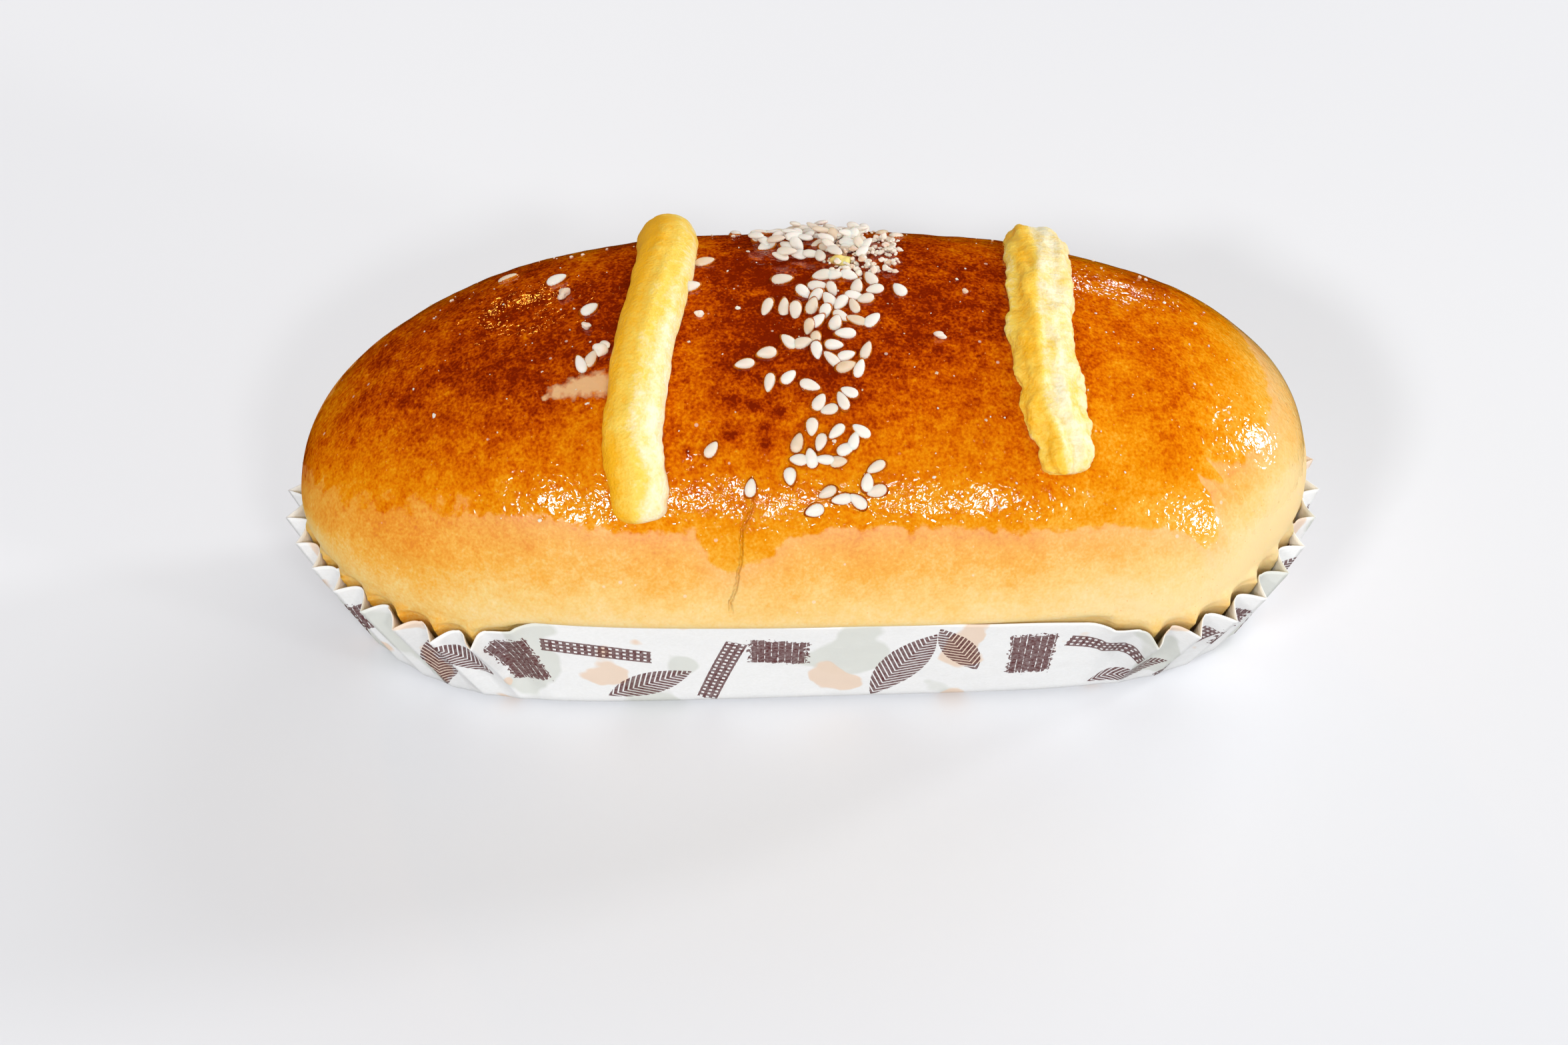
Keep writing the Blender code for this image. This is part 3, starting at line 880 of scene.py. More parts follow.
@dataclass(frozen=True)
class SesameHull:
    """Hulled sesame seed: a smooth waxy skin, cream with a few seeds toasted tan."""

    tones: tuple[tuple[float, str], ...] = (
        (0.0, "#d9a468"), (0.12, "#e2c6a4"), (0.45, "#e6d8c6"), (1.0, "#f0e9df"))
    roughness: float = 0.38
    cloud_mm: float = 0.9
    cloud_height_mm: float = 0.1

    def material(self) -> bpy.types.Material:
        """Build the shader of the seeds.

        Returns:
            The finished material.
        """
        material, shader, add, place = new_material("hulled_sesame")
        tone = add("Attribute", attribute_name="tone").outputs["Fac"]
        cloud = add("TexNoise", {"Vector": place, "Scale": 1.0 / (self.cloud_mm * MM)})
        mixed = add("Math", {0: cloud, 1: 0.3, 2: tone}, operation="MULTIPLY_ADD")
        colour = add("ValToRGB", {"Fac": mixed}, stops=self.tones)
        bump = add("Bump", {"Height": cloud, "Strength": 0.3, "Distance": self.cloud_height_mm * MM})
        feed(shader, {"Base Color": colour, "Normal": bump, "Roughness": self.roughness, "IOR": 1.47,
                      "Subsurface Weight": 0.2, "Subsurface Scale": 0.8 * MM})
        return material


@dataclass(frozen=True)
class PooledGlazeAndShadow:
    """Egg glaze drawn up round a seed, where it is thick and bakes dark red-brown; the dark ring also stands
    for painted contact shadow round the seed.
    """

    # The darker colour is partly thick glaze, partly painted shadow where the seed meets the crust.
    thick: str = "#a03c06"
    thin: str = "#cf7414"
    roughness: float = 0.18
    cloud_mm: float = 3.0

    def material(self) -> bpy.types.Material:
        """Build the shader of the pooled glaze.

        Returns:
            The finished material.
        """
        material, shader, add, place = new_material("egg_glaze_and_painted_shadow")
        cloud = add("TexNoise", {"Vector": place, "Scale": 1.0 / (self.cloud_mm * MM)})
        colour = add("ValToRGB", {"Fac": cloud}, stops=((0.35, self.thick), (0.65, self.thin)))
        feed(shader, {"Base Color": colour, "Roughness": self.roughness, "IOR": 1.48})
        return material


@dataclass(frozen=True)
class DriedCoconut:
    """Dried coconut and a few custard crumbs: matt, creamy white, a little see-through."""

    custard: str = "#f4dc84"
    deep: str = "#e2bd9c"
    pale: str = "#f2e4d4"
    roughness: float = 0.6
    cloud_mm: float = 0.8
    cloud_height_mm: float = 0.2

    def material(self) -> bpy.types.Material:
        """Build the shader of the crumbs.

        Returns:
            The finished material.
        """
        material, shader, add, place = new_material("dried_coconut")
        cloud = add("TexNoise", {"Vector": place, "Scale": 1.0 / (self.cloud_mm * MM)})
        tone = add("Attribute", attribute_name="tone").outputs["Fac"]
        mixed = add("Math", {0: cloud, 1: 0.5, 2: tone}, operation="MULTIPLY_ADD")
        colour = add("ValToRGB", {"Fac": mixed}, stops=((0.30, self.custard), (0.42, self.deep),
                                                        (0.8, self.pale)))
        bump = add("Bump", {"Height": cloud, "Strength": 0.5, "Distance": self.cloud_height_mm * MM})
        feed(shader, {"Base Color": colour, "Normal": bump, "Roughness": self.roughness,
                      "Subsurface Weight": 0.25, "Subsurface Scale": 0.8 * MM})
        return material


class MarkKind(Enum):
    """Kinds of printed mark, each with the share of a stripe that stays bare."""

    LEAF = 0.3
    HATCH = 0.55
    LATTICE = 0.45


@dataclass(frozen=True)
class PrintedMark:
    """One shape of the paper's print: its kind, middle, turn and half size in millimetres."""

    kind: MarkKind
    middle: Pair
    turn: float
    half: Pair


@dataclass(frozen=True)
class GreaseproofPaper:
    """Bleached greaseproof paper, calendered smooth: white, faintly glossy and crinkled.

    It is printed flat, before it is folded, with pale washes and small brown leaves, lattices
    and hatched blocks. The print is laid out on the paper's own map, in millimetres.
    """

    white: str = "#fdfdfc"
    ink: str = "#62292a"
    shade: str = "#f5f5f3"
    # Pale washes: colour, width in millimetres and how rare they are.
    washes: tuple[tuple[str, float, float], ...] = (("#e2e4dc", 19.0, 0.57), ("#f5dac2", 13.0, 0.60))
    roughness: float = 0.36
    fibre_mm: float = 0.5
    crinkle_mm: float = 5.0
    crinkle_height_mm: float = 0.4
    fibre_height_mm: float = 0.05
    stripe_mm: float = 0.6
    repeat_mm: float = 92.0
    marks: tuple[PrintedMark, ...] = (
        PrintedMark(MarkKind.LEAF, (-33.0, 13.0), 62.0, (12.0, 4.0)),
        PrintedMark(MarkKind.LEAF, (-23.0, 18.0), 118.0, (8.5, 3.0)),
        PrintedMark(MarkKind.HATCH, (-10.0, 16.0), 4.0, (4.6, 8.0)),
        PrintedMark(MarkKind.LATTICE, (5.0, 18.5), -12.0, (9.5, 1.9)),
        PrintedMark(MarkKind.LEAF, (12.0, 8.0), 24.0, (9.5, 3.2)),
        PrintedMark(MarkKind.LATTICE, (26.0, 12.0), 66.0, (10.0, 1.9)),
        PrintedMark(MarkKind.HATCH, (37.0, 18.0), -6.0, (6.0, 4.4)))

    def material(self) -> bpy.types.Material:
        """Build the shader of the paper.

        Returns:
            The finished material.
        """
        material, shader, add, place = new_material("greaseproof_paper")
        print_map = add("UVMap", uv_map="print").outputs["UV"]
        fibre = add("TexNoise", {"Vector": place, "Scale": 1.0 / (self.fibre_mm * MM), "Detail": 3.0})
        crinkle = add("TexNoise", {"Vector": place, "Scale": 1.0 / (self.crinkle_mm * MM), "Detail": 2.0})
        colour = add("ValToRGB", {"Fac": fibre}, stops=((0.2, self.shade), (0.8, self.white)))
        for tone, width, threshold in self.washes:
            blot = add("TexNoise", {"Vector": print_map, "Scale": 1.0 / width, "W": width, "Detail": 3.0,
                                    "Roughness": 0.35}, noise_dimensions="4D")
            mask = add("MapRange", {"Value": blot, "From Min": threshold, "From Max": threshold + 0.02,
                                    "To Max": 0.9})
            colour = add("Mix", {"Factor": mask, 6: colour, 7: linear(tone)}, data_type="RGBA").outputs[2]
        colour = add("Mix", {"Factor": self._ink(add, print_map, fibre), 6: colour, 7: linear(self.ink)},
                     data_type="RGBA").outputs[2]
        soft = add("Bump", {"Height": crinkle, "Strength": 0.5, "Distance": self.crinkle_height_mm * MM})
        bump = add("Bump", {"Height": fibre, "Strength": 0.25, "Distance": self.fibre_height_mm * MM,
                            "Normal": soft})
        feed(shader, {"Base Color": colour, "Normal": bump, "Roughness": self.roughness, "IOR": 1.5,
                      "Subsurface Weight": 0.1, "Subsurface Radius": (1.0, 0.85, 0.7),
                      "Subsurface Scale": 0.5 * MM})
        return material

    def _ink(self, add: AddNode, print_map: Link, fibre: Link) -> Link:
        """Mask of the brown ink: every mark, repeated round the case and worn by the fibres.

        Args:
            add: Adds a node.
            print_map: The paper's map in millimetres.
            fibre: Noise of the paper's fibres.

        Returns:
            Mask of the ink.
        """
        place = add("SeparateXYZ", {0: print_map})
        around = add("Math", {0: place.outputs["X"], 1: self.repeat_mm / 2.0, 2: -self.repeat_mm / 2.0},
                     operation="WRAP")
        print_map = add("CombineXYZ", {"X": around, "Y": place.outputs["Y"]})
        worn = add("MapRange", {"Value": fibre, "From Min": 0.3, "From Max": 0.7, "To Min": 0.75,
                                "To Max": 1.0})
        ragged = add("TexNoise", {"Vector": print_map, "Scale": 1.0, "Detail": 3.0})
        ink = None
        for mark in self.marks:
            masked = self._mark(add, print_map, ragged, mark)
            ink = masked if ink is None else add("Math", {0: ink, 1: masked}, operation="MAXIMUM")
        return add("Math", {0: ink, 1: worn}, operation="MULTIPLY")

    def _mark(self, add: AddNode, print_map: Link, ragged: Link, mark: PrintedMark) -> Link:
        """Mask of one mark: its outline, filled with veins, a lattice or hatching.

        Args:
            add: Adds a node.
            print_map: The paper's map in millimetres.
            ragged: Noise of the mark's edge.
            mark: Mark to draw.

        Returns:
            Mask of the mark.
        """
        own = add("Mapping", {"Vector": print_map, "Location": (*mark.middle, 0.0),
                              "Rotation": (0.0, 0.0, math.radians(mark.turn)), "Scale": (*mark.half, 1.0)},
                  vector_type="TEXTURE")
        folded = add("VectorMath", {0: own}, operation="ABSOLUTE")
        split = add("SeparateXYZ", {0: folded})
        away, aside = split.outputs["X"], split.outputs["Y"]
        along = add("SeparateXYZ", {0: own}).outputs["X"]
        is_leaf, is_hatch = mark.kind is MarkKind.LEAF, mark.kind is MarkKind.HATCH
        if is_leaf:
            reach = add("Math", {0: away, 1: away, 2: aside}, operation="MULTIPLY_ADD")
        else:
            reach = add("Math", {0: away, 1: aside}, operation="MAXIMUM")
        edge = add("Math", {0: ragged, 1: 0.7 if is_hatch else 0.1, 2: reach}, operation="MULTIPLY_ADD")
        inside = add("Math", {0: edge, 1: 1.2 if is_hatch else 1.05}, operation="LESS_THAN")
        per_stripe = 1.0 / self.stripe_mm
        slanted = add("Math", {0: aside, 1: -mark.half[1] * per_stripe if is_leaf else 0.0},
                      operation="MULTIPLY")
        turned = add("Math", {0: along, 1: mark.half[0] * per_stripe, 2: slanted}, operation="MULTIPLY_ADD")
        stripes = add("Math", {0: turned, 1: 1.0}, operation="PINGPONG")
        rows = add("Math", {0: aside, 1: mark.half[1] * per_stripe}, operation="MULTIPLY")
        rows = add("Math", {0: rows, 1: 1.0}, operation="PINGPONG")
        if is_hatch:
            stripes = add("Math", {0: stripes, 1: ragged}, operation="ADD")
        if mark.kind is MarkKind.LATTICE:
            stripes = add("Math", {0: stripes, 1: rows}, operation="MAXIMUM")
        filled = add("Math", {0: stripes, 1: mark.kind.value}, operation="GREATER_THAN")
        return add("Math", {0: inside, 1: filled}, operation="MULTIPLY")


# ---- the bun


@dataclass(frozen=True)
class BakedPatch:
    """A browner or paler patch: its middle and half width along X and up the crown's level."""

    x: float
    x_width: float
    level: float
    level_width: float
    change: float

    def at(self, x: Array, level: Array) -> Array:
        """Change of the browning at places along the bun and levels of the crown."""
        away = ((x - self.x) / self.x_width) ** 2 + ((level - self.level) / self.level_width) ** 2
        return self.change * np.exp(-away)


@dataclass(frozen=True)
class BakedSlope:
    """A change of the browning that sets in between two places along X, and two levels."""

    change: float
    x: Pair | None = None
    level: Pair | None = None

    def at(self, x: Array, level: Array) -> Array:
        """Change of the browning at places along the bun and levels of the crown."""
        along = 1.0 if self.x is None else ease(x, *self.x)
        return self.change * along * (1.0 if self.level is None else ease(level, *self.level))


@dataclass
class Crust:
    """The bare bun: a box of fine quads, rounded and swollen to the loaf's form."""

    form: LoafForm
    view: PhotoView
    lengthwise_parts: tuple[int, ...] = (50, 4)
    crosswise_parts: tuple[int, ...] = (50, 2)
    upright_parts: tuple[int, ...] = (42, 2)
    end_share: float = 0.62
    top_share: float = 0.35
    contact_swell: float = 0.2
    pleat_depth: float = 3.4
    pleat_swell: float = 1.7
    pleat_sharpness: float = 1.3
    pleat_reach: float = 2.5
    lump_mm: float = 26.0
    lump_height: float = 1.2
    dimple_mm: float = 5.0
    dimple_height: float = 0.35
    seam_pixels: tuple[Pixel, ...] = ((1127, 713), (1130, 756), (1113, 797), (1112, 840),
                                      (1103, 885), (1096, 903))
    seam_step: float = 0.35
    blister_pixels: tuple[Pixel, ...] = ((1095, 596), (1170, 620), (1138, 609), (1146, 640),
                                         (1096, 653), (1150, 668), (1031, 679))
    blister_height: float = 0.5
    blister_width: float = 1.2
    torn_pixels: tuple[Pixel, ...] = ((818, 598), (836, 588), (858, 583), (880, 578), (900, 576))
    torn_widths: tuple[float, ...] = (0.5, 1.3, 1.7, 2.0, 2.2)
    glaze_pixels: tuple[Pixel, ...] = (
        (630, 760), (697, 761), (753, 771), (842, 779), (900, 795), (1040, 800), (1080, 860),
        (1130, 850), (1200, 795), (1400, 790), (1690, 790), (1772, 795), (1812, 830),
        (1830, 800), (1841, 729), (1798, 715), (1818, 697), (1864, 692), (1900, 640))
    glaze_back_height: float = 44.0
    glaze_left_height: float = 32.0
    gloss_beyond: float = 9.0
    browning_by_level: tuple[Pair, ...] = (
        (0.0, 0.09), (0.15, 0.18), (0.30, 0.30), (0.50, 0.42), (0.70, 0.53), (0.85, 0.65),
        (0.95, 0.77), (1.0, 0.84))
    baked_patches: tuple[BakedPatch, ...] = (
        BakedPatch(-60.0, 10.0, 0.85, 0.25, 0.08), BakedPatch(-46.0, 12.0, 1.0, 0.12, 0.08),
        BakedPatch(-28.0, 9.0, 1.0, 0.08, 0.08),
        BakedPatch(-34.0, 6.0, 0.85, 0.20, -0.10), BakedPatch(-16.0, 3.5, 1.0, 0.12, -0.15),
        BakedPatch(-10.0, 5.0, 0.85, 0.12, 0.05), BakedPatch(-2.0, 9.0, 0.95, 0.15, 0.04),
        BakedPatch(18.0, 11.0, 0.85, 0.30, -0.06), BakedPatch(28.0, 5.0, 0.9, 0.10, -0.05),
        BakedPatch(46.0, 7.0, 0.75, 0.15, -0.05), BakedPatch(56.0, 6.0, 0.75, 0.14, 0.11))
    baked_slopes: tuple[BakedSlope, ...] = (
        BakedSlope(0.05, level=(0.35, 0.7)), BakedSlope(-0.14, (25.0, 70.0), (0.6, 0.9)),
        BakedSlope(-0.04, (30.0, 50.0)), BakedSlope(-0.22, (58.0, 78.0)),
        BakedSlope(-0.10, (66.0, 76.0)), BakedSlope(0.12, (-15.0, -50.0), (0.4, 0.9)),
        BakedSlope(0.14, (-35.0, -65.0), (0.6, 0.3)), BakedSlope(-0.09, (-64.0, -78.0)))
    browner_back: float = 0.05
    # Painted shade: how much browner the crust is drawn where it is pressed into the pleats.
    pleat_crevice_shade: float = 0.14
    browner_blisters: float = 0.28
    blister_stain: float = 0.9
    above_rim: Pair = (27.0, 34.0)
    glazed_from: Pair = (40.0, 46.0)
    seam_width: float = 0.8
    seam_reach: float = 4.0
    seam_fades: Pair = (3.0, 5.0)
    glaze_back_bearings: Pair = (0.6, 2.7)
    soft_left: Pair = (38.0, 58.0)
    softness_left: float = 0.7
    # Share of whitish peach below the glaze, partly satin tone and partly painted sheen: a least share, more
    # just below the edge and towards the right end.
    satin_sheen_least: float = 0.04
    satin_sheen_at_edge: float = 0.3
    satin_sheen_depth: float = 3.0
    satin_sheen_right: float = 0.12
    item: Piece = field(init=False)
    seam: Array = field(init=False)
    blisters: Array = field(init=False)
    torn: Array = field(init=False)
    glaze_edge: Array = field(init=False)
    pleated: Array = field(init=False)

    def build(self) -> Piece:
        """Make the crust's mesh and its attributes, and return the object.

        Returns:
            The crust's object.
        """
        select_only()
        bpy.ops.mesh.primitive_cube_add(size=2.0)
        item = name_piece(bpy.context.object, "bun_crust")
        bpy.ops.object.mode_set(mode="EDIT")
        split_along(Axis.X, self.lengthwise_parts)
        split_along(Axis.Y, self.crosswise_parts)
        split_along(Axis.Z, self.upright_parts)
        bpy.ops.mesh.select_all(action="SELECT")
        bpy.ops.transform.tosphere(value=1.0)
        bpy.ops.object.mode_set(mode="OBJECT")
        self.item = item
        along, angle = self._directions()
        smooth = self.form.surface(along, angle)
        write_places(item, smooth * MM)
        self._find_marks()
        self._swell(smooth)
        self._write_attributes(along, angle, smooth)
        return item

    def _directions(self) -> tuple[Array, Array]:
        """Place on the length and angle round the bun of every vertex.

        Returns:
            Places from -1 to 1 and angles, for LoafForm.surface.
        """
        ways = read_places(self.item) * np.array([1.0, self.end_share, self.end_share])
        ways /= np.linalg.norm(ways, axis=1)[:, None]
        ends = np.where(ways[:, 0] < 0.0, *self.form.end_fullness)
        along = np.sign(ways[:, 0]) * np.abs(ways[:, 0]) ** (2.0 / ends)
        girth = np.hypot(ways[:, 1], ways[:, 2])
        return np.clip(along, -1.0, 1.0), np.arctan2(ways[:, 2] + self.top_share * girth, ways[:, 1])

    def _find_marks(self) -> None:
        """Find where the lines of sight through the marks' pixels meet the smooth bun."""
        tree = self.search_tree()

        def found(pixels: Iterable[Pixel]) -> Array:
            """Places on the bun that the pixels show, in millimetres."""
            hits = [tree.ray_cast(*self.view.ray(pixel))[0] for pixel in pixels]
            return np.array([hit / MM for hit in hits if hit is not None])

        self.seam = found(self.seam_pixels)
        self.blisters = found(self.blister_pixels)
        self.torn = found(self.torn_pixels)
        self.glaze_edge = found(self.glaze_pixels)

    def search_tree(self) -> BVHTree:
        """Search tree of the crust as it is now."""
        return BVHTree.FromObject(self.item, bpy.context.evaluated_depsgraph_get())

    def _swell(self, smooth: Array) -> None:
        """Give the skin its lumps, dimples, seam and blisters.

        Args:
            smooth: Places on the smooth bun.
        """
        above_rim = ease(smooth[:, 2], *self.above_rim)
        push_by_clouds(self.item, self.lump_mm, self.lump_height, 1, above_rim)
        glazed = ease(smooth[:, 2], *self.glazed_from)
        push_by_clouds(self.item, self.dimple_mm, self.dimple_height, 2, glazed)
        normals = read_normals(self.item)
        lift = self.contact_swell * (1.0 - above_rim)
        self.pleated = self._in_pleats(smooth, smooth + normals * self.pleat_depth)
        lift += self.pleat_swell * self.pleated
        beside, along = self._seam(smooth)
        step = np.tanh(beside / self.seam_width) * np.exp(-np.abs(beside) / self.seam_reach)
        lift += self.seam_step * along * step
        for blister in self.blisters:
            away = np.linalg.norm(smooth - blister, axis=1)
            lift += self.blister_height * np.exp(-(away / self.blister_width) ** 2)
        write_places(self.item, read_places(self.item) + normals * (lift * MM)[:, None])

    def _in_pleats(self, points: Array, outside: Array) -> Array:
        """How far the dough is pressed into the pleats: 1 at the crests, close under the rim.

        Args:
            points: Places on the smooth bun, in millimetres.
            outside: The place on the pleats' crests that each of them faces.

        Returns:
            One share for each point.
        """
        case = self.form.case
        x, _, z = points.T
        up = np.clip(z / case.rim_height(x), 0.0, 1.0)
        half_length, _, shift = case.plan(x, up)
        open_share = (1.0 - case.fold((outside[:, 0] - shift) / half_length)) ** self.pleat_sharpness
        below = 1.0 - ease((z - case.rim_height(x)) / self.pleat_reach)
        return open_share * up * below * case.pleating(x) * (np.abs(x) > case.pleats_start)

    def _write_attributes(self, along: Array, angle: Array, smooth: Array) -> None:
        """Store how baked, glazed and torn the skin is at every vertex, with the painted shade in the pleats
        and the painted sheen below the glaze.

        Args:
            along: Place on the length, from -1 to 1.
            angle: Angle round the bun.
            smooth: Places on the smooth bun.
        """
        form = self.form
        height = np.sin(angle).clip(-0.2, 1.0)
        rise = (smooth[:, 2] - form.waist_height) / form.crown(along)
        level = np.maximum(rise, height * 0.75)
        browning_and_shade = np.interp(level, *zip(*self.browning_by_level))
        x = smooth[:, 0]
        browning_and_shade += sum(area.at(x, level) for area in (*self.baked_slopes, *self.baked_patches))
        browning_and_shade += self.browner_back * ease(smooth[:, 1], 0.0, 20.0)
        # Painted shade: the crust is drawn deeper golden in the pleats' crevices.
        browning_and_shade += self.pleat_crevice_shade * self.pleated
        for blister in self.blisters:
            away = np.linalg.norm(smooth - blister, axis=1)
            browning_and_shade += self.browner_blisters * np.exp(-(away / self.blister_stain) ** 2)
        write_attribute(self.item, "browning_and_shade", browning_and_shade)
        above_edge = smooth[:, 2] - self._glaze_edge_height(smooth)
        soft_edge = above_edge * (1.0 - self.softness_left * ease(-x, *self.soft_left))
        write_attribute(self.item, "glaze_height", soft_edge)
        write_attribute(self.item, "gloss_height", soft_edge + self.gloss_beyond * ease(x, 60.0, 68.0))
        # Painted sheen mixed with the satin crust's paler tone: strongest just below the glaze edge and at
        # the right end, none at the left end.
        satin_sheen_share = self.satin_sheen_least + self.satin_sheen_at_edge * np.exp(np.minimum(above_edge, 0.0) / self.satin_sheen_depth)
        satin_sheen_share += self.satin_sheen_right * ease(x, 45.0, 75.0)
        write_attribute(self.item, "satin_sheen_share", satin_sheen_share * (1.0 - ease(-x, 30.0, 60.0)))
        for name, values in zip(("beside_seam", "along_seam"), self._seam(smooth)):
            write_attribute(self.item, name, values)
        torn = np.full(len(smooth), -1.0)
        for spot, width in zip(self.torn, self.torn_widths):
            torn = np.maximum(torn, 1.0 - np.linalg.norm(smooth - spot, axis=1) / (2.0 * width))
        write_attribute(self.item, "torn", torn)

    def _seam(self, smooth: Array) -> tuple[Array, Array]:
        """Distance to the right of the seam in millimetres, and 1 beside it or 0 past its ends.

        Args:
            smooth: Places on the smooth bun.

        Returns:
            The distances and the shares.
        """
        line = self.seam[np.argsort(self.seam[:, 2])]
        height = smooth[:, 2]
        beside = smooth[:, 0] - np.interp(height, line[:, 2], line[:, 0])
        below, above = self.seam_fades
        bottom, top = line[0, 2], line[-1, 2]
        along = ease(height, bottom - below, bottom) * (1.0 - ease(height, top - above, top))
        return beside, along * (smooth[:, 1] < 0.0)

    def _glaze_edge_height(self, smooth: Array) -> Array:
        """Height of the glaze's lower edge on each vertex's side of the bun.

        Args:
            smooth: Places on the smooth bun.

        Returns:
            One height for each place.
        """
        bearings = self.form.bearing(self.glaze_edge)
        order = np.argsort(bearings)
        stops = np.concatenate([[-math.pi], bearings[order], self.glaze_back_bearings, [math.pi]])
        levels = np.concatenate([[self.glaze_left_height], self.glaze_edge[order, 2],
                                 [self.glaze_back_height] * 2, [self.glaze_left_height]])
        return np.interp(self.form.bearing(smooth), stops, levels)


@dataclass(frozen=True)
class Footing:
    """Where a small thing lies on the crust, in metres."""

    place: Vector
    normal: Vector


@dataclass
class CrustGround:
    """Looks up places on the finished crust for what lies on it."""

    crust: Crust
    reach_mm: float = 1.6
    search_mm: float = 8.0
    tree: BVHTree = field(init=False)
    normals: Array = field(init=False)
    points: kdtree.KDTree = field(init=False)

    def __post_init__(self) -> None:
        """Build the search trees of the crust."""
        self.tree = self.crust.search_tree()
        places = read_places(self.crust.item)
        self.normals = read_normals(self.crust.item)
        self.points = kdtree.KDTree(len(places))
        for index, place in enumerate(places):
            self.points.insert(place, index)
        self.points.balance()

    def _level(self, place: Vector) -> Footing:
        """Footing at a place, with the crust's normal averaged over a small disc.

        Args:
            place: Place on the crust, in metres.

        Returns:
            The footing.
        """
        found = self.points.find_range(place, self.reach_mm * MM)
        if not found:
            found = [self.points.find(place)]
        normal = sum((Vector(self.normals[index]) for _, index, _ in found), Vector())
        return Footing(place, normal.normalized())

    def under_pixel(self, pixel: Pair) -> Footing | None:
        """Footing on the crust seen through a pixel, or nothing beside the bun."""
        hit = self.tree.ray_cast(*self.crust.view.ray(pixel))[0]
        return self._level(hit) if hit is not None else None

    def at(self, x: float, degrees: float) -> Footing:
        """Footing at a place along the bun and an angle round it.

        Args:
            x: Place along the bun.
            degrees: Angle round it.

        Returns:
            The footing.
        """
        place, normal = self.crust.form.place(x, degrees)
        hit = self.tree.ray_cast((place + normal * self.search_mm) * MM, -normal)[0]
        return self._level(hit if hit is not None else place * MM)


# ---- custard strips


